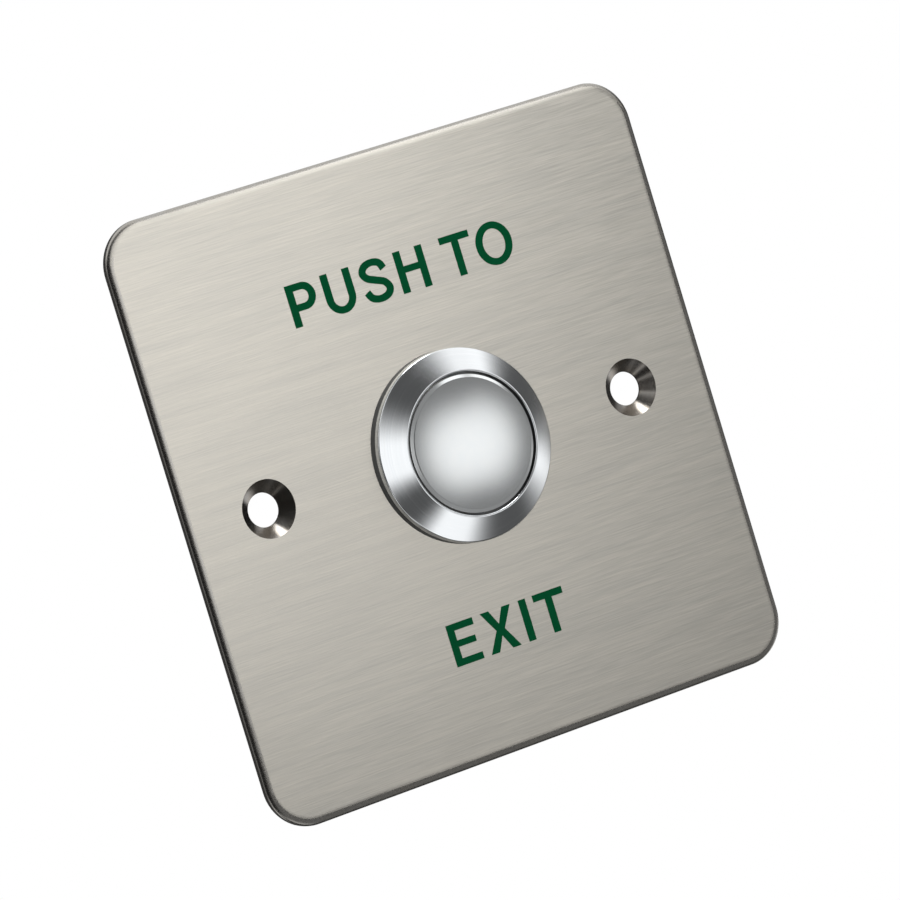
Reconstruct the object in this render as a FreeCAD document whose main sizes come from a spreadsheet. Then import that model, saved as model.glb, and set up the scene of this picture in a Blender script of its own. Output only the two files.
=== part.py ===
import FreeCAD, Part
import math
import os
import Sketcher

# Door exit button: a square steel wall plate with a spring-loaded metal push button in its middle,
# and behind it a small switch whose two screw terminals are joined while the button is held in.
#
# The plate stands upright: +Z is up, the front faces -Y, and the origin is the centre of the plate's
# back face, where it meets the wall. What lies behind the plate is at +Y. Lengths are millimetres.
# Widths of round things are diameters.

SIZES = (
    # Face plate
    ("plate_width", 86.0, "face plate, left to right"),
    ("plate_height", 86.0, "face plate, bottom to top"),
    ("plate_thickness", 2.0, "face plate, front to back"),
    ("corner_radius", 6.5, "face plate, its four corners seen from the front"),
    ("edge_round", 0.9, "face plate, rounding of its front edge"),
    ("screw_spacing", 60.3, "wall screws, centre to centre"),
    ("screw_hole_width", 4.8, "wall screw hole"),
    ("countersink_width", 8.2, "countersink at the plate's face"),
    ("countersink_angle", 90.0, "countersink, full angle in degrees"),
    # Bezel and barrel
    ("hub_bore_width", 18.0, "barrel bore that guides the cap's hub"),
    ("cap_step", 1.05, "step from the hub's bore out to the bore round the cap, radially"),
    ("lip_width", 0.25, "flat lip between the cap's bore and the cone, radially"),
    ("cone_width", 3.3, "bezel's conical face, radially"),
    ("bezel_rise", 2.25, "the same face, front to back"),
    ("flange_side", 2.35, "upright side wall of the bezel's flange"),
    ("base_step", 0.5, "step from the hub's bore out to the bore round the base, radially"),
    ("barrel_wall", 1.5, "barrel wall round the base, over its thread"),
    ("barrel_clearance", 0.2, "gap round the barrel in the plate and gasket"),
    ("barrel_chamfer", 0.5, "lead-in at the barrel's end"),
    ("ring_groove_depth", 0.45, "snap ring groove, radially"),
    ("ring_groove_setback", 1.0, "snap ring groove, from the barrel's end"),
    # Gasket, washer and nut
    ("gasket_thickness", 1.2, "gasket under the flange, pressed"),
    ("gasket_setback", 0.75, "how far the gasket's rim lies inside the flange's"),
    ("washer_band", 2.5, "lock washer, radially, over the barrel's thread"),
    ("washer_thickness", 0.8, "lock washer"),
    ("tooth_depth", 1.1, "lock washer teeth, radially"),
    ("tooth_gap", 1.5, "notch between two lock washer teeth"),
    ("tooth_count", 12.0, "lock washer teeth"),
    ("nut_wall", 2.5, "mounting nut, from the barrel's thread out to its flats"),
    ("nut_thickness", 3.0, "mounting nut"),
    ("thread_clearance", 0.05, "gap round the barrel in the nut and washer, in place of threads"),
    # Button cap and its seal
    ("travel", 2.5, "button travel"),
    ("stop_gap", 0.05, "left between the hub and its stop at full travel"),
    ("shoulder_gap", 0.3, "left between the cap's disc and its shoulder at full travel"),
    ("cap_gap", 0.4, "gap round the cap in the bezel"),
    ("cap_sink", 0.1, "cap's rim below the bezel's lip"),
    ("dome_rise", 0.7, "dome of the cap over its rim"),
    ("cap_rim_thickness", 1.2, "cap's disc at its rim"),
    ("cap_bevel", 0.5, "bevel round the dome"),
    ("crown_thickness", 2.6, "cap, from the dome's edge back to the hollow behind"),
    ("hub_length", 12.45, "cap's hub behind its disc"),
    ("hub_clearance", 0.1, "gap round the cap's hub in the barrel"),
    ("hub_wall", 2.5, "wall of the cap's hub"),
    ("boss_wall", 1.0, "wall of the boss inside the cap that takes the plunger"),
    ("boss_length", 3.4, "the same boss"),
    ("socket_depth", 3.0, "socket in the boss for the plunger"),
    ("socket_clearance", 0.03, "gap round the plunger in its socket"),
    ("seal_section", 1.2, "O-ring section"),
    ("seal_gap", 0.04, "gap between the O-ring and the barrel's bore"),
    ("seal_floor_gap", 0.16, "gap between the O-ring and the floor of its groove"),
    ("seal_play", 0.3, "O-ring groove, wider than the ring along the hub"),
    ("seal_groove_setback", 2.7, "O-ring groove, from the hub's end"),
    # Plunger and its guide
    ("plunger_width", 4.0, "plunger rod"),
    ("plunger_clearance", 0.1, "gap round the plunger in its guide"),
    ("collar_step", 1.0, "step out to the plunger's collar, which stops the button's outward way"),
    ("collar_thickness", 1.0, "plunger collar"),
    ("tail_step", 0.8, "step in to the plunger's tail, which carries the bridge, radially"),
    ("tail_end", 0.5, "plunger tail beyond its clip"),
    ("guide_clearance", 0.05, "gap round the guide and the base in the barrel"),
    ("guide_thickness", 2.0, "plunger guide disc"),
    ("guide_boss_gap", 0.6, "gap round the guide's boss in the return spring"),
    ("guide_boss_length", 1.6, "the same boss"),
    # Springs
    ("return_wire", 0.6, "return spring wire"),
    ("return_spring_gap", 1.0, "gap round the return spring in the cap's hub"),
    ("return_coils", 6.0, "return spring turns"),
    ("contact_wire", 0.4, "contact spring wire"),
    ("contact_spring_gap", 0.4, "gap between the contact spring and the plunger's tail"),
    ("contact_spring_length", 2.3, "contact spring at rest"),
    ("contact_coils", 3.0, "contact spring turns"),
    ("coil_gap", 0.1, "gap in the closed turn at each end of a spring"),
    # Contact bridge and contacts
    ("bridge_margin", 0.1, "contact bridge beyond its two rivets, and the terminals beyond theirs"),
    ("bridge_width", 3.6, "contact bridge"),
    ("bridge_thickness", 0.5, "contact bridge"),
    ("bridge_clearance", 0.1, "gap round the plunger's tail in the bridge"),
    ("clip_step", 1.0, "E-ring's step out from the plunger's tail"),
    ("clip_thickness", 0.4, "the same E-ring"),
    ("clip_depth", 0.35, "its groove in the tail"),
    ("clip_clearance", 0.03, "gap between the E-ring and its groove"),
    ("contact_width", 2.2, "contact rivet"),
    ("contact_height", 0.6, "contact rivet"),
    ("contact_way", 2.0, "way of the bridge until the contacts meet"),
    ("contact_gap", 0.02, "left between the contacts when they meet"),
    # Terminal base
    ("base_floor", 5.78, "base, from the floor of its slot to its back face"),
    ("neck_gap", 0.2, "gap between the snap ring and the base's neck"),
    ("base_neck_length", 4.8, "the same neck"),
    ("chamber_clearance", 0.15, "gap round the terminal strips in the base's slot"),
    ("well_gap", 0.5, "gap round the plunger's collar in the base's round well"),
    ("barrier_thickness", 0.8, "wall between the two terminals"),
    ("barrier_height", 3.2, "the same wall, over the base's back face"),
    ("barrier_setback", 1.1, "the same wall's ends, inside the base's neck"),
    ("ring_thickness", 0.9, "snap ring"),
    ("ring_play", 0.1, "snap ring groove, wider than the ring"),
    ("ring_radial_width", 1.1, "snap ring"),
    ("ring_opening", 3.2, "gap in the snap ring"),
    # Terminals
    ("strip_thickness", 0.7, "terminal strip"),
    ("strip_width", 4.0, "terminal strip"),
    ("strip_setback", 1.0, "outer face of the strip's leg, inside the base's neck"),
    ("strip_clearance", 0.05, "gap round the strip's leg in the base"),
    ("terminal_setback", 3.0, "terminal screw's middle, inside the outer face of the strip's leg"),
    ("clamp_width", 5.2, "square clamp washer"),
    ("clamp_thickness", 0.8, "square clamp washer"),
    ("terminal_screw_width", 3.0, "terminal screw"),
    ("terminal_screw_length", 5.4, "terminal screw, under its head"),
    ("terminal_screw_clearance", 0.1, "gap round the terminal screw"),
    ("screw_head_width", 5.2, "terminal screw head"),
    ("screw_head_height", 1.9, "terminal screw head"),
    ("driver_slot_width", 0.8, "slot in the screw head"),
    ("driver_slot_depth", 1.0, "slot in the screw head"),
)

CUTTING = ("PartDesign::Pocket", "PartDesign::Groove", "PartDesign::Hole")
ORIGIN_ID = -1
HORIZONTAL_ID = -1
VERTICAL_ID = -2
START, END, CENTRE = 1, 2, 3
SIDES = (("left", -1), ("right", 1))
RUNS_PER_TURN = 12
WIRE_FLATS = 6
SEAL_FLATS = 6


class Size:
    """A length with the sheet formula that gives it, so that a feature can be bound to it."""

    def __init__(self, value, formula):
        self.value = value
        self.formula = formula

    def __add__(self, other):
        other = as_size(other)
        return Size(self.value + other.value, f"({self.formula} + {other.formula})")

    def __sub__(self, other):
        other = as_size(other)
        return Size(self.value - other.value, f"({self.formula} - {other.formula})")

    def __mul__(self, other):
        other = as_size(other)
        return Size(self.value * other.value, f"({self.formula} * {other.formula})")

    def __truediv__(self, other):
        other = as_size(other)
        return Size(self.value / other.value, f"({self.formula} / {other.formula})")

    def __neg__(self):
        return Size(-self.value, f"(0 - {self.formula})")


def as_size(item):
    """A plain number as a Size; a Size as it is."""
    if isinstance(item, Size):
        return item
    return Size(float(item), f"{item:.12g}" if item >= 0 else f"(0 - {-item:.12g})")


class SizeSheet:
    """The driving dimensions: each alias is an attribute that holds its Size."""

    def __init__(self, table):
        sheet = doc.addObject("Spreadsheet::Sheet", "Sizes")
        for row, (alias, value, meaning) in enumerate(table, 1):
            sheet.set(f"A{row}", alias)
            sheet.set(f"B{row}", str(value))
            sheet.set(f"C{row}", meaning)
            sheet.setAlias(f"B{row}", alias)
            setattr(self, alias, Size(value, f"Sizes.{alias}"))


def bind(item, prop, size):
    """Drive one property of an object by a size."""
    item.setExpression(prop, as_size(size).formula)


def new_body(label):
    body = doc.addObject("PartDesign::Body", label)
    body.Label = label
    return body


def new_sketch(body, role, name):
    """A sketch on one of the body's own origin planes."""
    sketch = body.newObject("Sketcher::SketchObject", name)
    plane = next(f for f in body.Origin.OriginFeatures if f.Role == role)
    sketch.AttachmentSupport = [(plane, "")]
    sketch.MapMode = "FlatFace"
    return sketch


def front_sketch(body, name, depth):
    """A sketch parallel to the wall, at this depth along Y. Its axes are X and Z; its normal is -Y."""
    sketch = new_sketch(body, "XZ_Plane", name)
    bind(sketch, "AttachmentOffset.Base.z", -as_size(depth))
    return sketch


def hold_point(sketch, geometry, end, x, y):
    """Hold one point of a sketch at x, y, each bound to its formula, or on the axis where it is 0."""
    for kind, axis_id, place in (("DistanceX", VERTICAL_ID, x), ("DistanceY", HORIZONTAL_ID, y)):
        place = as_size(place)
        if place.formula == "0":
            sketch.addConstraint(Sketcher.Constraint("PointOnObject", geometry, end, axis_id))
        else:
            rule = Sketcher.Constraint(kind, ORIGIN_ID, START, geometry, end, place.value)
            index = sketch.addConstraint(rule)
            bind(sketch, f"Constraints[{index}]", place)


def draw_outline(sketch, corners, dome_centre=None):
    """A closed outline through corners. With dome_centre, a height on the vertical axis, the edge
    from the first corner to the second is an arc about it, and the others are straight."""
    points = [FreeCAD.Vector(as_size(x).value, as_size(y).value, 0) for x, y in corners]
    edges = []
    for i, start in enumerate(points):
        end = points[(i + 1) % len(points)]
        if i == 0 and dome_centre is not None:
            centre = FreeCAD.Vector(0, dome_centre.value, 0)
            circle = Part.Circle(centre, FreeCAD.Vector(0, 0, 1), (start - centre).Length)
            angles = [math.atan2(p.y - centre.y, p.x - centre.x) for p in (start, end)]
            index = sketch.addGeometry(Part.ArcOfCircle(circle, *sorted(angles)), False)
            sketch.addConstraint(Sketcher.Constraint("PointOnObject", index, CENTRE, VERTICAL_ID))
            first, second = (START, END) if angles[0] < angles[1] else (END, START)
        else:
            index = sketch.addGeometry(Part.LineSegment(start, end), False)
            first, second = START, END
        edges.append((index, first, second))
    for i, (index, first, second) in enumerate(edges):
        following, its_first, _ = edges[(i + 1) % len(edges)]
        sketch.addConstraint(Sketcher.Constraint("Coincident", index, second, following, its_first))
        hold_point(sketch, index, first, *corners[i])


def draw_rectangle(sketch, left, right, bottom, top):
    draw_outline(sketch, ((left, bottom), (right, bottom), (right, top), (left, top)))


def draw_circle(sketch, x, y, width):
    """A circle of this diameter about x, y."""
    centre = FreeCAD.Vector(as_size(x).value, as_size(y).value, 0)
    circle = Part.Circle(centre, FreeCAD.Vector(0, 0, 1), width.value / 2)
    index = sketch.addGeometry(circle, False)
    hold_point(sketch, index, CENTRE, x, y)
    rule = sketch.addConstraint(Sketcher.Constraint("Diameter", index, width.value))
    bind(sketch, f"Constraints[{rule}]", width)


def turned(label, corners, dome_centre=None):
    """A body turned about the Y axis from an outline of (radius, depth) corners."""
    body = new_body(label)
    sketch = new_sketch(body, "XY_Plane", f"{label}_profile")
    draw_outline(sketch, corners, dome_centre)
    solid = body.newObject("PartDesign::Revolution", f"{label}_turned")
    solid.Profile = sketch
    solid.ReferenceAxis = (sketch, ["V_Axis"])
    solid.Angle = 360
    return body


def turned_groove(body, name, corners):
    """Cut a groove, an outline of (radius, depth) corners, all the way round the Y axis."""
    sketch = new_sketch(body, "XY_Plane", f"{name}_profile")
    draw_outline(sketch, corners)
    groove = body.newObject("PartDesign::Groove", name)
    groove.Profile = sketch
    groove.ReferenceAxis = (sketch, ["V_Axis"])
    groove.Angle = 360


def pad(body, sketch, length, midplane=False):
    """Thicken a sketch along its normal, or to both sides of it."""
    solid = body.newObject("PartDesign::Pad", f"{sketch.Name}_pad")
    solid.Profile = sketch
    solid.Midplane = midplane
    bind(solid, "Length", length)
    return solid


def pocket(body, sketch, depth=None, forward=False):
    """Cut a sketch away, to this depth backward or forward, or right through."""
    cut = body.newObject("PartDesign::Pocket", f"{sketch.Name}_pocket")
    cut.Profile = sketch
    cut.Reversed = forward
    if depth is None:
        cut.Type = "ThroughAll"
        cut.Midplane = True
    else:
        bind(cut, "Length", depth)
    return cut


def round_edges(body, name, radius, wanted):
    """Fillet the edges of the body that the test wanted picks."""
    doc.recompute()
    base = body.Tip
    names = [f"Edge{i}" for i, edge in enumerate(base.Shape.Edges, 1) if wanted(edge)]
    fillet = body.newObject("PartDesign::Fillet", name)
    fillet.Base = (base, names)
    bind(fillet, "Radius", radius)


def along(edge, axis):
    """Whether an edge is a straight line along this axis."""
    straight = isinstance(edge.Curve, Part.Line)
    return straight and abs(edge.tangentAt(edge.FirstParameter).dot(axis)) > 0.999


def at_depth(edge, depth):
    """Whether the whole of an edge lies at this depth."""
    box = edge.BoundBox
    return max(abs(box.YMin - depth.value), abs(box.YMax - depth.value)) < 1e-4


def polar(radius, degrees):
    """The (x, y) of a point at this radius and angle, as sizes."""
    angle = math.radians(degrees)
    return radius * math.cos(angle), radius * math.sin(angle)


def make_face_plate():
    """Solid plate, rounded at its corners and front edge, with two countersunk holes and a middle
    hole for the barrel."""
    body = new_body("face_plate")
    sketch = front_sketch(body, "plate_outline", 0)
    half_width = size.plate_width / 2
    half_height = size.plate_height / 2
    draw_rectangle(sketch, -half_width, half_width, -half_height, half_height)
    pad(body, sketch, size.plate_thickness)
    round_edges(body, "plate_corners", size.corner_radius, lambda e: along(e, FreeCAD.Vector(0, 1, 0)))
    round_edges(body, "plate_front_edge", size.edge_round, lambda e: at_depth(e, PLATE_FRONT))
    sketch = front_sketch(body, "barrel_hole", 0)
    draw_circle(sketch, 0, 0, (BARREL + size.barrel_clearance) * 2)
    pocket(body, sketch)
    sketch = front_sketch(body, "wall_screw_holes", PLATE_FRONT)
    for _, side in SIDES:
        draw_circle(sketch, size.screw_spacing / 2 * side, 0, size.screw_hole_width)
    doc.recompute()
    holes = body.newObject("PartDesign::Hole", "countersunk_holes")
    holes.Profile = sketch
    doc.recompute()
    holes.DepthType = "ThroughAll"
    holes.HoleCutType = "Countersink"
    bind(holes, "Diameter", size.screw_hole_width)
    bind(holes, "HoleCutDiameter", size.countersink_width)
    bind(holes, "HoleCutCountersinkAngle", size.countersink_angle)


def make_bezel_housing():
    """Bezel ring and threaded barrel, turned in one piece: a conical face outside, and inside it
    the cap's bore, the hub's bore and, from the back, the base's bore with its snap ring groove."""
    body = turned("bezel_housing", (
        (CAP_BORE, LIP),
        (CAP_BORE + size.lip_width, LIP),
        (FLANGE, FLANGE_FRONT),
        (FLANGE, FLANGE_BACK),
        (BARREL, FLANGE_BACK),
        (BARREL, BARREL_END - size.barrel_chamfer),
        (BARREL - size.barrel_chamfer, BARREL_END),
        (BASE_BORE, BARREL_END),
        (BASE_BORE, BASE_SHOULDER),
        (HUB_BORE, BASE_SHOULDER),
        (HUB_BORE, CAP_SHOULDER),
        (CAP_BORE, CAP_SHOULDER),
    ))
    turned_groove(body, "snap_ring_groove", (
        (BASE_BORE - size.ring_groove_depth, GROOVE_FRONT),
        (BASE_BORE + size.ring_groove_depth, GROOVE_FRONT),
        (BASE_BORE + size.ring_groove_depth, GROOVE_BACK),
        (BASE_BORE - size.ring_groove_depth, GROOVE_BACK),
    ))


def make_panel_gasket():
    inner = BARREL + size.barrel_clearance
    outer = FLANGE - size.gasket_setback
    turned("panel_gasket", (
        (inner, FLANGE_BACK),
        (outer, FLANGE_BACK),
        (outer, PLATE_FRONT),
        (inner, PLATE_FRONT),
    ))


def make_lock_washer():
    """Washer with a ring of teeth on its inner edge, left between notches."""
    body = new_body("lock_washer")
    sketch = front_sketch(body, "washer_ring", size.washer_thickness)
    inner = BARREL + size.thread_clearance
    draw_circle(sketch, 0, 0, (BARREL + size.washer_band) * 2)
    draw_circle(sketch, 0, 0, inner * 2)
    pad(body, sketch, size.washer_thickness)
    sketch = front_sketch(body, "washer_notch", 0)
    half_gap = size.tooth_gap / 2
    draw_rectangle(sketch, inner - size.tooth_depth, inner + size.tooth_depth, -half_gap, half_gap)
    notch = pocket(body, sketch)
    teeth = body.newObject("PartDesign::PolarPattern", "washer_teeth")
    teeth.Originals = [notch]
    teeth.Axis = (sketch, ["N_Axis"])
    teeth.Angle = 360
    bind(teeth, "Occurrences", size.tooth_count)
    body.Tip = teeth


def make_mounting_nut():
    """Hexagon nut, the corners of its back face bevelled at 30 degrees."""
    body = new_body("mounting_nut")
    sketch = front_sketch(body, "nut_hexagon", NUT_BACK)
    flat = BARREL + size.nut_wall
    corner = flat / math.cos(math.radians(30))
    draw_outline(sketch, [polar(corner, 60 * k + 30) for k in range(6)])
    pad(body, sketch, size.nut_thickness)
    sketch = front_sketch(body, "nut_bore", NUT_BACK)
    draw_circle(sketch, 0, 0, (BARREL + size.thread_clearance) * 2)
    pocket(body, sketch)
    outside = corner + flat / 10
    turned_groove(body, "nut_bevel", (
        (flat, NUT_BACK),
        (outside, NUT_BACK),
        (outside, NUT_BACK - (outside - flat) * math.tan(math.radians(30))),
    ))


def make_button_cap():
    """Domed cap with a hollow hub behind it. The hub slides in the barrel and has the groove for
    the O-ring; a boss in its middle takes the plunger."""
    rim = CAP_BORE - size.cap_gap
    dome = rim - size.cap_bevel
    disc_back = CAP_RIM + size.cap_rim_thickness
    socket = ROD + size.socket_clearance
    boss = socket + size.boss_wall
    dome_radius = (dome * dome + size.dome_rise * size.dome_rise) / (size.dome_rise * 2)
    body = turned("button_cap", (
        (0, CAP_RIM - size.dome_rise),
        (dome, CAP_RIM),
        (rim, CAP_RIM + size.cap_bevel),
        (rim, disc_back),
        (HUB, disc_back),
        (HUB, HUB_END),
        (HOLLOW, HUB_END),
        (HOLLOW, CROWN_BACK),
        (boss, CROWN_BACK),
        (boss, BOSS_END),
        (socket, BOSS_END),
        (socket, SOCKET_END),
        (0, SOCKET_END),
    ), dome_centre=CAP_RIM - size.dome_rise + dome_radius)
    floor = SEAL - size.seal_section / 2 - size.seal_floor_gap
    half_groove = (size.seal_section + size.seal_play) / 2
    turned_groove(body, "seal_groove", (
        (floor, SEAL_MIDDLE - half_groove),
        (HUB_BORE, SEAL_MIDDLE - half_groove),
        (HUB_BORE, SEAL_MIDDLE + half_groove),
        (floor, SEAL_MIDDLE + half_groove),
    ))


def make_cap_seal():
    """O-ring, its round section drawn with a few flats, two of them along the bore."""
    corner = size.seal_section / 2 / math.cos(math.pi / SEAL_FLATS)
    steps = [polar(corner, 360 / SEAL_FLATS * (k + 0.5)) for k in range(SEAL_FLATS)]
    turned("cap_seal", [(SEAL + out, SEAL_MIDDLE + back) for out, back in steps])


def make_plunger():
    """Rod from the cap's boss to the contacts. Its collar rests on the guide, and a groove near
    the end of its tail takes the E-ring."""
    groove = TAIL - size.clip_depth
    clip_back = BRIDGE_BACK + size.clip_thickness
    turned("plunger", (
        (0, SOCKET_END),
        (ROD, SOCKET_END),
        (ROD, GUIDE_BACK),
        (COLLAR, GUIDE_BACK),
        (COLLAR, COLLAR_BACK),
        (TAIL, COLLAR_BACK),
        (TAIL, BRIDGE_BACK),
        (groove, BRIDGE_BACK),
        (groove, clip_back),
        (TAIL, clip_back),
        (TAIL, clip_back + size.tail_end),
        (0, clip_back + size.tail_end),
    ))


def make_plunger_guide():
    """Disc on the barrel's shoulder that guides the plunger and carries the return spring."""
    hole = ROD + size.plunger_clearance
    boss = RETURN_SPRING - size.return_wire / 2 - size.guide_boss_gap
    disc = BASE_BORE - size.guide_clearance
    turned("plunger_guide", (
        (hole, BASE_SHOULDER - size.guide_boss_length),
        (boss, BASE_SHOULDER - size.guide_boss_length),
        (boss, BASE_SHOULDER),
        (disc, BASE_SHOULDER),
        (disc, GUIDE_BACK),
        (hole, GUIDE_BACK),
    ))


def make_spring(label, front, back, radius, wire, coils):
    """Wire coil from front to back, its first and last turns closed and ground flat. The wire is
    drawn as short straight runs with a few flats, mitred where they meet."""
    closed = wire.value + size.coil_gap.value
    open_turns = coils.value - 2
    open_pitch = (back.value - front.value - closed * 2) / open_turns
    turns = [k / RUNS_PER_TURN for k in range(round(coils.value * RUNS_PER_TURN) + 1)]
    places = []
    for turn in turns:
        opened = min(max(turn - 1, 0), open_turns)
        depth = front.value + closed * (turn - opened) + open_pitch * opened
        angle = 2 * math.pi * turn
        places.append(FreeCAD.Vector(radius.value * math.cos(angle), depth, radius.value * math.sin(angle)))
    path = doc.addObject("Part::Polygon", f"{label}_path")
    path.Nodes = places
    section = doc.addObject("Part::RegularPolygon", f"{label}_section")
    section.Polygon = WIRE_FLATS
    bind(section, "Circumradius", wire / 2 / math.sqrt(math.cos(math.pi / WIRE_FLATS)))
    heading = FreeCAD.Rotation(FreeCAD.Vector(0, 0, 1), places[1] - places[0])
    section.Placement = FreeCAD.Placement(places[0], heading)
    coil = doc.addObject("Part::Sweep", f"{label}_coil")
    coil.Sections = [section]
    coil.Spine = (path, [])
    coil.Solid = True
    coil.Transition = "Right corner"
    span = doc.addObject("Part::Cylinder", f"{label}_span")
    span.Placement.Rotation = TURNED_TO_Y
    bind(span, "Radius", radius * 2)
    bind(span, "Height", back - front)
    bind(span, "Placement.Base.y", front)
    spring = doc.addObject("Part::Common", label)
    spring.Label = label
    spring.Base = coil
    spring.Tool = span


def make_clip(label, front, thickness, inner, outer, opening):
    """Flat ring with an opening at the top: a snap ring or an E-ring."""
    body = new_body(label)
    sketch = front_sketch(body, f"{label}_ring", front + thickness)
    draw_circle(sketch, 0, 0, outer * 2)
    draw_circle(sketch, 0, 0, inner * 2)
    pad(body, sketch, thickness)
    sketch = front_sketch(body, f"{label}_opening", front)
    draw_rectangle(sketch, -(opening / 2), opening / 2, inner / 4, outer * 2)
    pocket(body, sketch)


def make_bridge_clip():
    inner = TAIL - size.clip_depth + size.clip_clearance
    make_clip("bridge_clip", BRIDGE_BACK, size.clip_thickness, inner, CLIP, inner * 1.6)


def make_base_retaining_ring():
    """Snap ring in the barrel's groove, behind the base's flange."""
    make_clip("base_retaining_ring", GROOVE_FRONT, size.ring_thickness, RING_INNER, RING_OUTER,
              size.ring_opening)


def make_contact_bridge():
    body = new_body("contact_bridge")
    sketch = front_sketch(body, "bridge_strip", BRIDGE_BACK)
    half_length = CONTACT_PLACE + size.contact_width / 2 + size.bridge_margin
    half_width = size.bridge_width / 2
    draw_rectangle(sketch, -half_length, half_length, -half_width, half_width)
    pad(body, sketch, size.bridge_thickness)
    sketch = front_sketch(body, "bridge_hole", BRIDGE_BACK)
    draw_circle(sketch, 0, 0, (TAIL + size.bridge_clearance) * 2)
    pocket(body, sketch)
    round_edges(body, "bridge_corners", half_width / 2, lambda e: along(e, FreeCAD.Vector(0, 1, 0)))


def make_rivet(label, back, side):
    """Contact rivet that ends at this depth."""
    rivet = doc.addObject("Part::Cylinder", label)
    rivet.Label = label
    rivet.Placement.Rotation = TURNED_TO_Y
    bind(rivet, "Radius", size.contact_width / 2)
    bind(rivet, "Height", size.contact_height)
    bind(rivet, "Placement.Base.x", CONTACT_PLACE * side)
    bind(rivet, "Placement.Base.y", back - size.contact_height)


def make_contacts():
    for name, side in SIDES:
        make_rivet(f"moving_contact_{name}", BRIDGE_BACK + size.contact_height, side)
        make_rivet(f"fixed_contact_{name}", FOOT_FRONT, side)


def make_terminal_base():
    """Insulating base: a slot for the bridge and a round well in its front, two slots for the
    terminals' legs, two screw holes, and a wall between the terminals on its back."""
    rim = BASE_BORE - size.guide_clearance
    body = turned("terminal_base", (
        (0, GUIDE_BACK),
        (rim, GUIDE_BACK),
        (rim, GROOVE_FRONT),
        (NECK, GROOVE_FRONT),
        (NECK, BASE_BACK),
        (0, BASE_BACK),
    ))
    sketch = front_sketch(body, "bridge_slot", GUIDE_BACK)
    half_slot = size.strip_width / 2 + size.chamber_clearance
    slot_end = STRIP_REACH + size.chamber_clearance
    draw_rectangle(sketch, -slot_end, slot_end, -half_slot, half_slot)
    pocket(body, sketch, FLOOR - GUIDE_BACK)
    sketch = front_sketch(body, "spring_well", GUIDE_BACK)
    draw_circle(sketch, 0, 0, (COLLAR + size.well_gap) * 2)
    pocket(body, sketch, FLOOR - GUIDE_BACK)
    for name, side in SIDES:
        sketch = front_sketch(body, f"leg_slot_{name}", BASE_BACK)
        inner = (LEG_INNER - size.strip_clearance) * side
        outer = (STRIP_REACH + size.strip_clearance) * side
        half_leg = size.strip_width / 2 + size.strip_clearance
        draw_rectangle(sketch, inner, outer, -half_leg, half_leg)
        pocket(body, sketch, BASE_BACK - FLOOR, forward=True)
        sketch = front_sketch(body, f"screw_hole_{name}", BASE_BACK)
        hole = size.terminal_screw_width + size.terminal_screw_clearance * 2
        draw_circle(sketch, TERMINAL_PLACE * side, 0, hole)
        pocket(body, sketch, BASE_BACK - SCREW_END + size.terminal_screw_clearance, forward=True)
    sketch = front_sketch(body, "barrier_outline", BASE_BACK + size.barrier_height)
    half_wall = size.barrier_thickness / 2
    half_length = NECK - size.barrier_setback
    draw_rectangle(sketch, -half_wall, half_wall, -half_length, half_length)
    pad(body, sketch, size.barrier_height)


def make_terminal(label, side):
    """Bent strip: a foot under the contact inside the base, a leg through it, and a pad with the
    screw's hole on its back."""
    body = new_body(label)
    sketch = new_sketch(body, "XY_Plane", f"{label}_outline")
    foot_inner = CONTACT_PLACE - size.contact_width / 2 - size.bridge_margin
    pad_inner = TERMINAL_PLACE - size.clamp_width / 2
    draw_outline(sketch, (
        (foot_inner * side, FOOT_FRONT),
        (STRIP_REACH * side, FOOT_FRONT),
        (STRIP_REACH * side, PAD_BACK),
        (pad_inner * side, PAD_BACK),
        (pad_inner * side, BASE_BACK),
        (LEG_INNER * side, BASE_BACK),
        (LEG_INNER * side, FLOOR),
        (foot_inner * side, FLOOR),
    ))
    pad(body, sketch, size.strip_width, midplane=True)
    sketch = front_sketch(body, f"{label}_hole", PAD_BACK)
    hole = size.terminal_screw_width + size.terminal_screw_clearance * 2
    draw_circle(sketch, TERMINAL_PLACE * side, 0, hole)
    pocket(body, sketch, size.strip_thickness, forward=True)


def make_clamp_washer(label, side):
    """Square washer that clamps the wire under the screw's head."""
    middle = TERMINAL_PLACE * side
    plate = doc.addObject("Part::Box", f"{label}_plate")
    bind(plate, "Length", size.clamp_width)
    bind(plate, "Width", size.clamp_thickness)
    bind(plate, "Height", size.clamp_width)
    bind(plate, "Placement.Base.x", middle - size.clamp_width / 2)
    bind(plate, "Placement.Base.y", PAD_BACK)
    bind(plate, "Placement.Base.z", -(size.clamp_width / 2))
    hole = doc.addObject("Part::Cylinder", f"{label}_hole")
    hole.Placement.Rotation = TURNED_TO_Y
    bind(hole, "Radius", size.terminal_screw_width / 2 + size.terminal_screw_clearance)
    bind(hole, "Height", size.clamp_thickness)
    bind(hole, "Placement.Base.x", middle)
    bind(hole, "Placement.Base.y", PAD_BACK)
    washer = doc.addObject("Part::Cut", label)
    washer.Label = label
    washer.Base = plate
    washer.Tool = hole


def make_terminal_screw(label, side):
    """Slotted screw with a flat head."""
    head = size.screw_head_width / 2
    shank = size.terminal_screw_width / 2
    body = turned(label, (
        (0, SCREW_END),
        (shank, SCREW_END),
        (shank, CLAMP_BACK),
        (head, CLAMP_BACK),
        (head, HEAD_BACK),
        (0, HEAD_BACK),
    ))
    sketch = front_sketch(body, f"{label}_slot", HEAD_BACK)
    half_slot = size.driver_slot_width / 2
    draw_rectangle(sketch, -half_slot, half_slot, -head - half_slot, head + half_slot)
    pocket(body, sketch, size.driver_slot_depth, forward=True)
    bind(body, "Placement.Base.x", TERMINAL_PLACE * side)


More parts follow.
